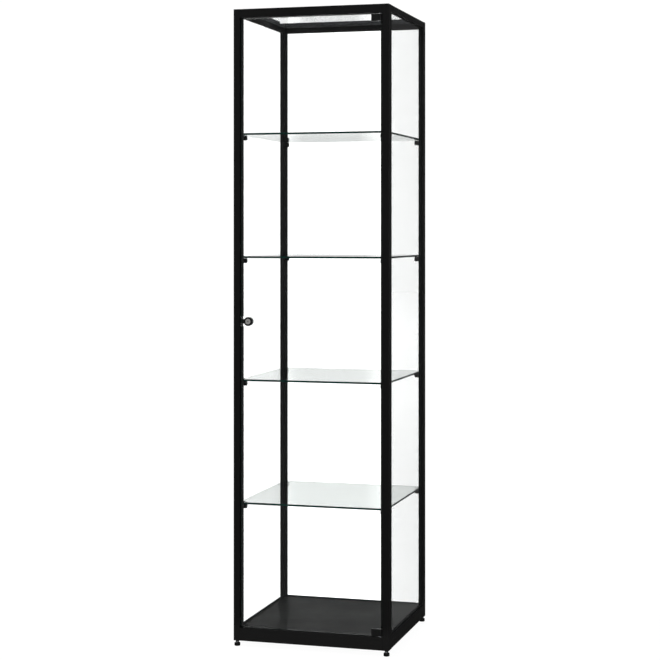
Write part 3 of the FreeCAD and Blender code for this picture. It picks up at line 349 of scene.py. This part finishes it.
# wide soft marks left by hands and cloths
def buildHandMarks(look):
    inputs = (vectorInput, ("Marks per metre", "NodeSocketFloat", 6.0))
    tree, begin, end = newGroup("handMarks", inputs, ("Mark",))
    vector, scale = begin.outputs["Vector"], begin.outputs["Marks per metre"]
    broad = addNoise(tree, vector, scale, look["broad"])
    fine = addNoise(tree, vector, addMath(tree, "MULTIPLY", scale, look["finer"]), look["fine"])
    broadShare, fineShare = look["shares"]
    both = addShares(tree, broad, broadShare, fine, fineShare)
    tree.links.new(addRange(tree, both, *look["contrast"], 0.0, 1.0), end.inputs["Mark"])
    return tree


# noises as scale and detail, with the range that each is spread over
dustMix = {
    "upward": (0.6, 1.0),
    "specks": (260.0, 5.0), "speckRange": (0.5, 0.75, 0.0, 1.0),
    "drifts": (9.0, 2.0), "driftRange": (0.3, 0.7, 0.3, 1.0),
}


# a little dust on what faces up
def buildSettledDust(look):
    inputs = (vectorInput, ("Normal", "NodeSocketVector", None))
    tree, begin, end = newGroup("settledDust", inputs, ("Dust",))
    vector = begin.outputs["Vector"]
    upward = addRange(tree, takeHeight(tree, begin.outputs["Normal"]), *look["upward"], 0.0, 1.0)
    specks = addRange(tree, addNoise(tree, vector, *look["specks"]), *look["speckRange"])
    drifts = addRange(tree, addNoise(tree, vector, *look["drifts"]), *look["driftRange"])
    dust = addMath(tree, "MULTIPLY", upward, addMath(tree, "MULTIPLY", specks, drifts))
    tree.links.new(dust, end.inputs["Dust"])
    return tree


ringMix = {"wander": 0.6, "waveScale": 0.32}


# rings left by a lathe about the local z axis
def buildTurnedRings(look):
    inputs = (vectorInput, ("Rings per metre", "NodeSocketFloat", 2500.0))
    tree, begin, end = newGroup("turnedRings", inputs, ("Ring",))
    wave = tree.nodes.new("ShaderNodeTexWave")
    wave.wave_type = "RINGS"
    wave.rings_direction = "Z"
    wave.inputs["Distortion"].default_value = look["wander"]
    tree.links.new(begin.outputs["Vector"], wave.inputs["Vector"])
    scale = addMath(tree, "MULTIPLY", begin.outputs["Rings per metre"], look["waveScale"])
    tree.links.new(scale, wave.inputs["Scale"])
    tree.links.new(wave.outputs["Fac"], end.inputs["Ring"])
    return tree


coatSkin = buildCoatSkin(skinMix)
handMarks = buildHandMarks(markMix)
settledDust = buildSettledDust(dustMix)
turnedRings = buildTurnedRings(ringMix)


def placeGroup(tree, group, links, values=None):
    node = tree.nodes.new("ShaderNodeGroup")
    node.node_tree = group
    for label, source in links.items():
        tree.links.new(source, node.inputs[label])
    for label, value in (values or {}).items():
        node.inputs[label].default_value = value
    return node.outputs


def placeMarks(tree, vector, marks):
    return placeGroup(tree, handMarks, {"Vector": vector}, {"Marks per metre": marks})["Mark"]


def placeSkin(tree, vector, grains):
    return placeGroup(tree, coatSkin, {"Vector": vector}, {"Grains per metre": grains})


dustAndBounceLook = {"colour": (0.30, 0.29, 0.28), "dulls": 0.3, "upFade": (0.2, 0.8)}
coatShared = {"marks": 6.0, "toneShares": (0.5, 0.5), "depth": 0.3 * mm}
coatLooks = {
    "powderCoat": {
        "tones": ((0.0160, 0.0160, 0.0163), (0.0225, 0.0225, 0.0230)),
        "rough": (0.50, 0.60), "grains": 1100.0, "bump": 0.10, "dust": 0.004,
        # paler near the floor: painted floor-bounce light, with a little dust
        "lowBounceAndDust": {"fade": (55 * mm, 90 * mm), "share": 0.050, "dullTop": 0.45},
        "shader": {"Specular IOR Level": 0.08},
    },
    "mouldedBlack": {
        "tones": ((0.0080, 0.0080, 0.0082), (0.0130, 0.0130, 0.0132)),
        "rough": (0.48, 0.62), "grains": 2300.0, "bump": 0.18, "dust": 0.12,
        "shader": {"Specular IOR Level": 0.35},
    },
    "blackenedZinc": {
        "tones": ((0.0045, 0.0046, 0.0050), (0.0080, 0.0082, 0.0088)),
        "rough": (0.36, 0.48), "grains": 1700.0, "bump": 0.12, "dust": 0.02,
        "shader": {"Specular IOR Level": 0.2},
    },
    "castZinc": {
        "tones": ((0.34, 0.35, 0.36), (0.47, 0.48, 0.49)),
        "rough": (0.38, 0.56), "grains": 900.0, "bump": 0.25, "dust": 0.0,
        "shader": {"Metallic": 0.9},
    },
    "floorLaminate": {
        "tones": ((0.0100, 0.0098, 0.0099), (0.0140, 0.0138, 0.0139)),
        "rough": (0.50, 0.60), "grains": 850.0, "bump": 0.06, "dust": 0.02,
        "shader": {"Specular IOR Level": 0.035, "Coat Weight": 0.045, "Coat Roughness": 0.08},
    },
    "gasketRubber": {
        "tones": ((0.0260, 0.0260, 0.0263), (0.0360, 0.0360, 0.0365)),
        "rough": (0.62, 0.78), "grains": 1900.0, "bump": 0.15, "dust": 0.10,
        "shader": {"Specular IOR Level": 0.3},
    },
    "hingeSatin": {
        "tones": ((0.0110, 0.0110, 0.0113), (0.0175, 0.0175, 0.0180)),
        "rough": (0.30, 0.40), "grains": 1500.0, "bump": 0.08, "dust": 0.05,
        "shader": {"Specular IOR Level": 0.4},
    },
}


def makeCoat(name, look):
    finish, tree, shader, coords = startFinish(name, look["shader"])
    skin = placeSkin(tree, coords, look["grains"])
    mark = placeMarks(tree, coords, coatShared["marks"])
    normal = tree.nodes.new("ShaderNodeNewGeometry").outputs["Normal"]
    dust = placeGroup(tree, settledDust, {"Vector": coords, "Normal": normal})["Dust"]
    dust = addMath(tree, "MULTIPLY", dust, look["dust"])
    markShare, speckleShare = coatShared["toneShares"]
    blend = addShares(tree, mark, markShare, skin["Speckle"], speckleShare)
    tone = mixColours(tree, blend, *look["tones"])
    rough = addRange(tree, mark, 0.0, 1.0, *look["rough"])
    # near the floor upright faces turn paler: painted light bounced off the floor, with a film of dust; faces
    # that look up are duller
    if "lowBounceAndDust" in look:
        bounceAndDust = look["lowBounceAndDust"]
        facing = takeHeight(tree, normal)
        low = addRange(tree, takeHeight(tree, coords), *bounceAndDust["fade"], bounceAndDust["share"], 0.0)
        upright = addRange(tree, facing, *dustAndBounceLook["upFade"], 1.0, 0.0)
        dulled = addRange(tree, facing, *dustAndBounceLook["upFade"], 0.0, bounceAndDust["dullTop"])
        tone = mixColours(tree, addMath(tree, "MULTIPLY", low, upright), tone, dustAndBounceLook["colour"])
        rough = addMath(tree, "ADD", rough, dulled)
    tree.links.new(mixColours(tree, dust, tone, dustAndBounceLook["colour"]), shader.inputs["Base Color"])
    rough = addMath(tree, "ADD", rough, addMath(tree, "MULTIPLY", dust, dustAndBounceLook["dulls"]))
    tree.links.new(rough, shader.inputs["Roughness"])
    addBump(tree, shader, skin["Height"], look["bump"], coatShared["depth"])
    return finish


metalShared = {
    "grains": 2600.0, "marks": 60.0, "toneShares": (0.5, 0.5), "bumpShares": (0.6, 0.4),
    "bump": 0.12, "depth": 0.1 * mm,
}
metalLooks = {
    "plainSteel": {
        "tones": ((0.50, 0.51, 0.53), (0.66, 0.67, 0.69)), "rough": (0.18, 0.30), "metal": 0.85,
        "centre": origin, "turn": origin, "rings": 1600.0,
    },
    "lockNickel": {
        "tones": ((0.78, 0.77, 0.75), (0.95, 0.94, 0.92)), "rough": (0.24, 0.40), "metal": 0.12,
        "centre": (-0.203, -0.2475, 1.0145), "turn": (quarterTurn, 0.0, 0.0), "rings": 2600.0,
        # painted shade: dark in the keyway and round the rim of the core
        "keywayAndRimShade": {
            "tone": (0.014, 0.014, 0.015),
            "keyway": (1.5 * mm, 2.3 * mm, 0.75, 0.0),  # dark inside this radius
            "rim": (8.3 * mm, 8.7 * mm, 0.0, 1.0),  # and outside this one
        },
    },
}


def makeMetal(name, look):
    finish, tree, shader, coords = startFinish(name, {"Metallic": look["metal"]})
    place = tree.nodes.new("ShaderNodeMapping")
    place.vector_type = "TEXTURE"
    place.inputs["Location"].default_value = look["centre"]
    place.inputs["Rotation"].default_value = look["turn"]
    tree.links.new(coords, place.inputs["Vector"])
    spot = place.outputs[0]
    ring = placeGroup(tree, turnedRings, {"Vector": spot}, {"Rings per metre": look["rings"]})["Ring"]
    skin = placeSkin(tree, coords, metalShared["grains"])
    mark = placeMarks(tree, coords, metalShared["marks"])
    ringShare, markShare = metalShared["toneShares"]
    blend = addShares(tree, ring, ringShare, mark, markShare)
    tone = mixColours(tree, blend, *look["tones"])
    # painted shade in the keyway and round the rim of the core
    if "keywayAndRimShade" in look:
        keywayAndRimShade = look["keywayAndRimShade"]
        flat = addVector(tree, "MULTIPLY", spot, (1.0, 1.0, 0.0))
        radius = addVector(tree, "LENGTH", flat)
        keywayShade = addRange(tree, radius, *keywayAndRimShade["keyway"])
        rimShade = addRange(tree, radius, *keywayAndRimShade["rim"])
        tone = mixColours(tree, addMath(tree, "ADD", keywayShade, rimShade), tone, keywayAndRimShade["tone"])
    tree.links.new(tone, shader.inputs["Base Color"])
    tree.links.new(addRange(tree, blend, 0.0, 1.0, *look["rough"]), shader.inputs["Roughness"])
    ringShare, skinShare = metalShared["bumpShares"]
    height = addShares(tree, ring, ringShare, skin["Height"], skinShare)
    addBump(tree, shader, height, metalShared["bump"], metalShared["depth"])
    return finish


glassShared = {"marks": 4.0, "shader": {"Transmission Weight": 1.0, "Roughness": 0.0, "IOR": 1.45}}
# the tones of the glass, and what its shadow lets through
glassLooks = {
    "paneGlass": {"tones": ((0.976, 0.984, 0.981), (0.984, 0.990, 0.988)), "lamp": (0.94, 0.96, 0.95, 1.0)},
    "smokedGlass": {"tones": ((0.040, 0.042, 0.045), (0.055, 0.058, 0.061)), "lamp": (0.94, 0.96, 0.95, 1.0)},
    "shelfGlass": {"tones": ((0.790, 0.835, 0.815), (0.815, 0.855, 0.838)), "lamp": (0.92, 0.95, 0.94, 1.0)},
}


def makeGlass(name, look):
    finish, tree, shader, coords = startFinish(name, glassShared["shader"])
    mark = placeMarks(tree, coords, glassShared["marks"])
    tree.links.new(mixColours(tree, mark, *look["tones"]), shader.inputs["Base Color"])
    through = tree.nodes.new("ShaderNodeBsdfTransparent")
    through.inputs["Color"].default_value = look["lamp"]
    path = tree.nodes.new("ShaderNodeLightPath")
    mix = tree.nodes.new("ShaderNodeMixShader")
    tree.links.new(path.outputs["Is Shadow Ray"], mix.inputs["Fac"])
    tree.links.new(shader.outputs[0], mix.inputs[1])
    tree.links.new(through.outputs[0], mix.inputs[2])
    tree.links.new(mix.outputs[0], tree.nodes["Material Output"].inputs["Surface"])
    return finish


edgeLook = {
    "tones": ((0.004, 0.030, 0.023), (0.013, 0.066, 0.052)),
    "rough": (0.10, 0.24), "marks": 28.0, "stretch": (1.0, 1.0, 6.0),
    # painted shade: the edge turns dark low down, over the black base rail
    "low": {"fade": (66 * mm, 80 * mm), "tone": (0.004, 0.010, 0.009)},  # over the black base rail
    "shader": {"Coat Weight": 0.1, "Coat Roughness": 0.08, "Specular IOR Level": 0.2},
}


def makeGlassEdge(name, look):
    finish, tree, shader, coords = startFinish(name, look["shader"])
    stretch = tree.nodes.new("ShaderNodeMapping")
    stretch.inputs["Scale"].default_value = look["stretch"]
    tree.links.new(coords, stretch.inputs["Vector"])
    mark = placeMarks(tree, stretch.outputs[0], look["marks"])
    # painted shade on the edge below the top of the base rail
    low = addRange(tree, takeHeight(tree, coords), *look["low"]["fade"], 1.0, 0.0)
    tone = mixColours(tree, low, mixColours(tree, mark, *look["tones"]), look["low"]["tone"])
    tree.links.new(tone, shader.inputs["Base Color"])
    tree.links.new(addRange(tree, mark, 0.0, 1.0, *look["rough"]), shader.inputs["Roughness"])
    return finish


padLook = {
    "tones": ((0.70, 0.74, 0.72), (0.82, 0.85, 0.83)), "marks": 300.0,
    "shader": {"Transmission Weight": 0.7, "Roughness": 0.3},
}


def makeSoftPad(name, look):
    finish, tree, shader, coords = startFinish(name, look["shader"])
    mark = placeMarks(tree, coords, look["marks"])
    tree.links.new(mixColours(tree, mark, *look["tones"]), shader.inputs["Base Color"])
    return finish


finishes = {name: makeCoat(name, look) for name, look in coatLooks.items()}
finishes.update({name: makeMetal(name, look) for name, look in metalLooks.items()})
finishes.update({name: makeGlass(name, look) for name, look in glassLooks.items()})
finishes["groundEdge"] = makeGlassEdge("groundEdge", edgeLook)
finishes["softPad"] = makeSoftPad("softPad", padLook)
print("finishes mixed:", len(finishes))


slotFinishes = {
    "frame_black": "powderCoat", "black_plastic": "mouldedBlack", "joiner_zinc": "castZinc",
    "black_zinc": "blackenedZinc", "floor_panel": "floorLaminate", "clear_glass": "paneGlass",
    "smoked_glass": "smokedGlass", "shelf_glass": "shelfGlass", "seal_rubber": "gasketRubber",
    "clear_pad": "softPad", "hinge_black": "hingeSatin", "bright_steel": "plainSteel",
    "lock_nickel": "lockNickel",
}

for node in cadNodes.values():
    for place in node.material_slots:
        slotName = place.material.name.split(".")[0]
        place.link = "OBJECT"
        place.material = finishes[slotFinishes[slotName]]
print("solids dressed")


sharpAngle = 0.6  # radians between two faces that meet in a sharp edge
smoothAngle = 0.7  # and below which they are shaded as one
levelFacing = 0.9  # height of the normal of a face that lies level
flatFacing = 0.9999  # longest part of the normal of a face along an axis
tinyStep = 1e-5  # metres, and so are the next two
weldGap = 1e-6
cutGap = 1e-7


def finishPiece(bm, name, body, finishNames, replaced):
    piece = makeObject(bm, name, [finishes[finishName] for finishName in finishNames])
    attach(piece, body)
    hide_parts(*replaced)


def onlyVerts(parts):
    return [part for part in parts if isinstance(part, bmesh.types.BMVert)]


def wholeMesh(bm):
    return bm.verts[:] + bm.edges[:] + bm.faces[:]


def drawRing(bm, outline, level):
    ring = [bm.verts.new((x, y, level)) for x, y in outline]
    for first, second in zip(ring, ring[1:] + ring[:1]):
        bm.edges.new((first, second))


def liftSlab(bm, rise):
    bmesh.ops.triangle_fill(bm, use_beauty=True, use_dissolve=False, edges=bm.edges[:], normal=axisZ)
    raised = bmesh.ops.extrude_face_region(bm, geom=bm.faces[:], use_keep_orig=True)
    bmesh.ops.translate(bm, verts=onlyVerts(raised["geom"]), vec=(0.0, 0.0, rise))
    bmesh.ops.recalc_face_normals(bm, faces=bm.faces[:])


def roundEdges(bm, edges, size, segments):
    bmesh.ops.bevel(
        bm, geom=edges, offset=size, offset_type="OFFSET", affect="EDGES",
        segments=segments, profile=0.5, clamp_overlap=True, material=-1,
    )


# flat faces stay flat; turned and rounded ones are shaded smooth
def shadeFaces(bm):
    for face in bm.faces:
        face.smooth = max(abs(part) for part in face.normal) < flatFacing
    for edge in bm.edges:
        edge.smooth = edge.calc_face_angle(0.0) < smoothAngle


# a solid of revolution; the run of points starts and ends on the axis, or else closes on itself
def turnRun(bm, run, centre, axis, steps, closed):
    verts = [bm.verts.new(spot) for spot in run]
    following = verts[1:] + verts[:1] if closed else verts[1:]
    edges = [bm.edges.new(pair) for pair in zip(verts, following)]
    bmesh.ops.spin(
        bm, geom=verts + edges, cent=centre, axis=axis, dvec=origin,
        angle=fullTurn, steps=steps, use_merge=True,
    )
    bmesh.ops.remove_doubles(bm, verts=bm.verts[:], dist=weldGap)
    bmesh.ops.recalc_face_normals(bm, faces=bm.faces[:])


def sharpEdges(bm):
    return [edge for edge in bm.edges if edge.calc_face_angle(0.0) > sharpAngle]


def uprightEdges(bm):
    return [edge for edge in sharpEdges(bm) if abs(edge.verts[0].co.z - edge.verts[1].co.z) > tinyStep]


def rimEdges(bm):
    return [
        edge for edge in bm.edges
        if len({abs(face.normal.z) > levelFacing for face in edge.link_faces}) == 2
    ]


paneLook = {
    "corner": 1.2 * mm, "cornerSteps": 3,
    "arris": 0.5 * mm, "arrisSteps": 2,
    "holeSteps": 40,
}


def cutPane(outline, holes, level, thick, look):
    bm = bmesh.new()
    drawRing(bm, outline, level)
    for x, y, radius in holes:
        spot = Matrix.Translation((x, y, level))
        bmesh.ops.create_circle(bm, cap_ends=False, segments=look["holeSteps"], radius=radius, matrix=spot)
    liftSlab(bm, thick)
    roundEdges(bm, uprightEdges(bm), look["corner"], look["cornerSteps"])
    roundEdges(bm, rimEdges(bm), look["arris"], look["arrisSteps"])
    for face in bm.faces:
        face.material_index = 0 if abs(face.normal.z) > levelFacing else 1
        face.smooth = face.material_index == 1
    return bm


shelfLook = {
    "frontCut": (221.0 * mm, -211.0 * mm),  # clear of the front posts and the door stop
    "rearCut": (229.0 * mm, 216.0 * mm),
}


def makeShelf(number, look):
    node = f"shelf_{number}"
    low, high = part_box(node)
    frontX, frontY = look["frontCut"]
    rearX, rearY = look["rearCut"]
    half = [
        (frontX, low.y), (frontX, frontY), (high.x, frontY),
        (high.x, rearY), (rearX, rearY), (rearX, high.y),
    ]
    outline = half + [(-x, y) for x, y in reversed(half)]
    bm = cutPane(outline, (), low.z, high.z - low.z, paneLook)
    finishPiece(bm, f"glassShelf_{number}", "frame", ("shelfGlass", "groundEdge"), (node,))


for number in shelfNumbers:
    makeShelf(number, shelfLook)
print("shelves cut")


doorLook = {
    "clampCut": (212.5 * mm, 21.0 * mm),  # from the middle, and up from the ends
    "lockHole": (-203.0 * mm, 1014.5 * mm, 9.0 * mm),
    "screwHoles": (199.0 * mm, 207.0 * mm, 10.0 * mm, 3.5 * mm),
}


def makeDoor(look):
    low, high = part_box("door_glass")
    cutX, cutRise = look["clampCut"]
    near, far, rise, radius = look["screwHoles"]
    outline = [
        (low.x, low.z), (cutX, low.z), (cutX, low.z + cutRise), (high.x, low.z + cutRise),
        (high.x, high.z - cutRise), (cutX, high.z - cutRise), (cutX, high.z), (low.x, high.z),
    ]
    holes = [look["lockHole"]]
    for x in (near, far):
        holes += [(x, low.z + rise, radius), (x, high.z - rise, radius)]
    bm = cutPane(outline, holes, -high.y, high.y - low.y, paneLook)
    bmesh.ops.rotate(bm, verts=bm.verts[:], cent=origin, matrix=Matrix.Rotation(quarterTurn, 3, "X"))
    finishPiece(bm, "glassDoor", "door", ("paneGlass", "groundEdge"), ("door_glass",))


makeDoor(doorLook)
print("door cut")


clampLook = {
    "edge": 0.6 * mm, "edgeSteps": 3,
    "pivot": (222.5 * mm, -243.0 * mm),
    "block": 213.0 * mm,  # where the full thickness begins
    "plate": 3.0 * mm,
    "turnSteps": 20,
}


def makeClamp(level, look):
    node = f"hinge_clamp_{level}"
    low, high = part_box(node)
    pivotX, pivotY = look["pivot"]
    bm = bmesh.new()
    begin = bm.verts.new((pivotX, low.y, low.z))
    arc = bmesh.ops.spin(
        bm, geom=[begin], cent=(pivotX, pivotY, low.z), axis=axisZ, dvec=origin,
        angle=math.pi, steps=look["turnSteps"], use_merge=False,
    )
    end = onlyVerts(arc["geom_last"])[0]
    plateY = low.y + look["plate"]
    spots = [(look["block"], high.y), (look["block"], plateY), (low.x, plateY), (low.x, low.y)]
    run = [end] + [bm.verts.new((x, y, low.z)) for x, y in spots] + [begin]
    for pair in zip(run, run[1:]):
        bm.edges.new(pair)
    liftSlab(bm, high.z - low.z)
    roundEdges(bm, uprightEdges(bm), look["edge"], look["edgeSteps"])
    roundEdges(bm, rimEdges(bm), look["edge"], look["edgeSteps"])
    shadeFaces(bm)
    finishPiece(bm, f"hingeClamp_{level}", "door", ("hingeSatin",), (node,))


for level in ("top", "bottom"):
    makeClamp(level, clampLook)
print("clamps shaped")


rosetteLook = {
    "bore": 10.05 * mm, "boreSlack": 0.1 * mm, "steps": 72,
    "rim": 1.2 * mm, "rimSteps": 5, "rimBand": 1.0 * mm,
    "lip": 0.3 * mm, "lipSteps": 2,
}


# sharp edges on the front of a turned piece, between two radii
def frontEdges(bm, centre, inside, outside):
    front = {
        vert for vert in bm.verts
        if vert.co.y < centre.y and inside < (vert.co - centre).xz.length < outside
    }
    return [edge for edge in sharpEdges(bm) if front.issuperset(edge.verts)]


def makeRosette(look):
    low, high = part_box("lock_rosette")
    centre = (low + high) / 2
    radius = (high.x - low.x) / 2
    bore = look["bore"]
    spots = [(bore, high.y), (radius, high.y), (radius, low.y), (bore, low.y)]
    run = [(centre.x + reach, y, centre.z) for reach, y in spots]
    bm = bmesh.new()
    turnRun(bm, run, centre, axisY, look["steps"], True)
    outer = frontEdges(bm, centre, radius - look["rimBand"], math.inf)
    roundEdges(bm, outer, look["rim"], look["rimSteps"])
    inner = frontEdges(bm, centre, 0.0, bore + look["boreSlack"])
    roundEdges(bm, inner, look["lip"], look["lipSteps"])
    shadeFaces(bm)
    finishPiece(bm, "lockRosette", "door", ("hingeSatin",), ("lock_rosette",))


makeRosette(rosetteLook)
print("rosette turned")


studLook = {
    "face": 230.0 * mm,  # inner faces of the posts
    "along": (-216.0 * mm, 221.0 * mm),
    "radius": 8.0 * mm, "reach": 13.0 * mm, "flat": 1.0 * mm,
    "nose": 1.5 * mm, "noseSteps": 4,
    "peg": (2.5 * mm, 5.0 * mm),
    "steps": 40,
}


def makeStuds(number, look):
    node = f"shelf_clips_{number}"
    low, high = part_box(node)
    radius, reach = look["radius"], look["reach"]
    level = low.z + radius
    pegRadius, pegLength = look["peg"]
    spots = [
        (-pegLength, 0.0), (-pegLength, pegRadius), (0.0, pegRadius), (0.0, radius),
        (reach, radius), (reach, 0.0),
    ]
    bm = bmesh.new()
    turnRun(bm, [(x, 0.0, z) for x, z in spots], origin, axisX, look["steps"], False)
    tip = [edge for edge in sharpEdges(bm) if all(vert.co.x > reach - tinyStep for vert in edge.verts)]
    roundEdges(bm, tip, look["nose"], look["noseSteps"])
    bmesh.ops.bisect_plane(
        bm, geom=wholeMesh(bm), dist=cutGap,
        plane_co=(0.0, 0.0, radius - look["flat"]), plane_no=axisZ, clear_outer=True,
    )
    bmesh.ops.holes_fill(bm, edges=bm.edges[:], sides=0)
    bmesh.ops.recalc_face_normals(bm, faces=bm.faces[:])
    pattern = wholeMesh(bm)
    for side, turn in ((-1, 0.0), (1, math.pi)):
        for along in look["along"]:
            copied = bmesh.ops.duplicate(bm, geom=pattern)["geom"]
            place = Matrix.Translation((side * look["face"], along, level)) @ Matrix.Rotation(turn, 4, "Z")
            bmesh.ops.transform(bm, verts=onlyVerts(copied), matrix=place)
    bmesh.ops.delete(bm, geom=onlyVerts(pattern), context="VERTS")
    shadeFaces(bm)
    finishPiece(bm, f"shelfStuds_{number}", "frame", ("blackenedZinc",), (node,))


for number in shelfNumbers:
    makeStuds(number, studLook)
print("studs turned")


padShape = {"rim": 1.8 * mm, "rimSteps": 5, "steps": 56}


def makeFootPad(corner, look):
    node = f"foot_pad_{corner}"
    low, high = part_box(node)
    middle = (low + high) / 2
    radius = (high.x - low.x) / 2
    spots = [(0.0, low.z), (radius, low.z), (radius, high.z), (0.0, high.z)]
    run = [(middle.x + reach, middle.y, z) for reach, z in spots]
    bm = bmesh.new()
    turnRun(bm, run, middle, axisZ, look["steps"], False)
    roundEdges(bm, sharpEdges(bm), look["rim"], look["rimSteps"])
    shadeFaces(bm)
    finishPiece(bm, f"footPad_{corner}", "frame", ("mouldedBlack",), (node,))


screwShape = {
    "padTop": 10.0 * mm, "nutTop": 15.0 * mm, "acrossFlats": 10.0 * mm, "nutEdge": 0.4 * mm, "nutSteps": 2,
    "spigot": 2.5 * mm, "spigotLap": 1.0 * mm, "core": 2.45 * mm, "stemSteps": 32,
    "crest": 2.98 * mm, "pitch": 1.0 * mm, "ridge": 0.44, "root": 0.1 * mm, "threadSteps": 28,
    "plainEnds": (0.2 * mm, 0.5 * mm),  # over the nut, and under the top
}


# a ridge that climbs round the stem, one pitch a turn
def addThread(bm, middle, bottom, top, look):
    pitch, turnSteps = look["pitch"], look["threadSteps"]
    half = look["ridge"] * pitch
    rooted = look["core"] - look["root"]
    spots = [(rooted, -half), (look["crest"], 0.0), (rooted, half)]
    start = bottom + half
    verts = [bm.verts.new((middle.x + reach, middle.y, start + rise)) for reach, rise in spots]
    ridge = bm.faces.new(verts)
    turns = int((top - half - start) / pitch)
    bmesh.ops.spin(
        bm, geom=verts + list(ridge.edges) + [ridge], cent=middle, axis=axisZ,
        dvec=(0.0, 0.0, pitch / turnSteps), angle=fullTurn * turns, steps=turns * turnSteps, use_merge=False,
    )
    bmesh.ops.holes_fill(bm, edges=bm.edges[:], sides=3)


def makeFootScrew(corner, look):
    node = f"foot_screw_{corner}"
    low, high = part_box(node)
    middle = Vector(((low.x + high.x) / 2, (low.y + high.y) / 2, 0.0))
    bm = bmesh.new()
    spot = Matrix.Translation((middle.x, middle.y, look["padTop"]))
    if high.x - low.x > high.y - low.y:
        spot = spot @ Matrix.Rotation(quarterTurn, 4, "Z")
    nutRadius = look["acrossFlats"] / math.sqrt(3.0)
    bmesh.ops.create_circle(bm, cap_ends=False, segments=6, radius=nutRadius, matrix=spot)
    liftSlab(bm, look["nutTop"] - look["padTop"])
    roundEdges(bm, sharpEdges(bm), look["nutEdge"], look["nutSteps"])
    spigot, core, lap = look["spigot"], look["core"], look["padTop"] + look["spigotLap"]
    spots = [(0.0, low.z), (spigot, low.z), (spigot, lap), (core, lap), (core, high.z), (0.0, high.z)]
    run = [(middle.x + reach, middle.y, z) for reach, z in spots]
    turnRun(bm, run, middle, axisZ, look["stemSteps"], False)
    plainLow, plainHigh = look["plainEnds"]
    addThread(bm, middle, look["nutTop"] + plainLow, high.z - plainHigh, look)
    bmesh.ops.recalc_face_normals(bm, faces=bm.faces[:])
    shadeFaces(bm)
    finishPiece(bm, f"footScrew_{corner}", node, ("plainSteel",), (node,))


for corner in corners:
    makeFootPad(corner, padShape)
    makeFootScrew(corner, screwShape)
print("feet made")
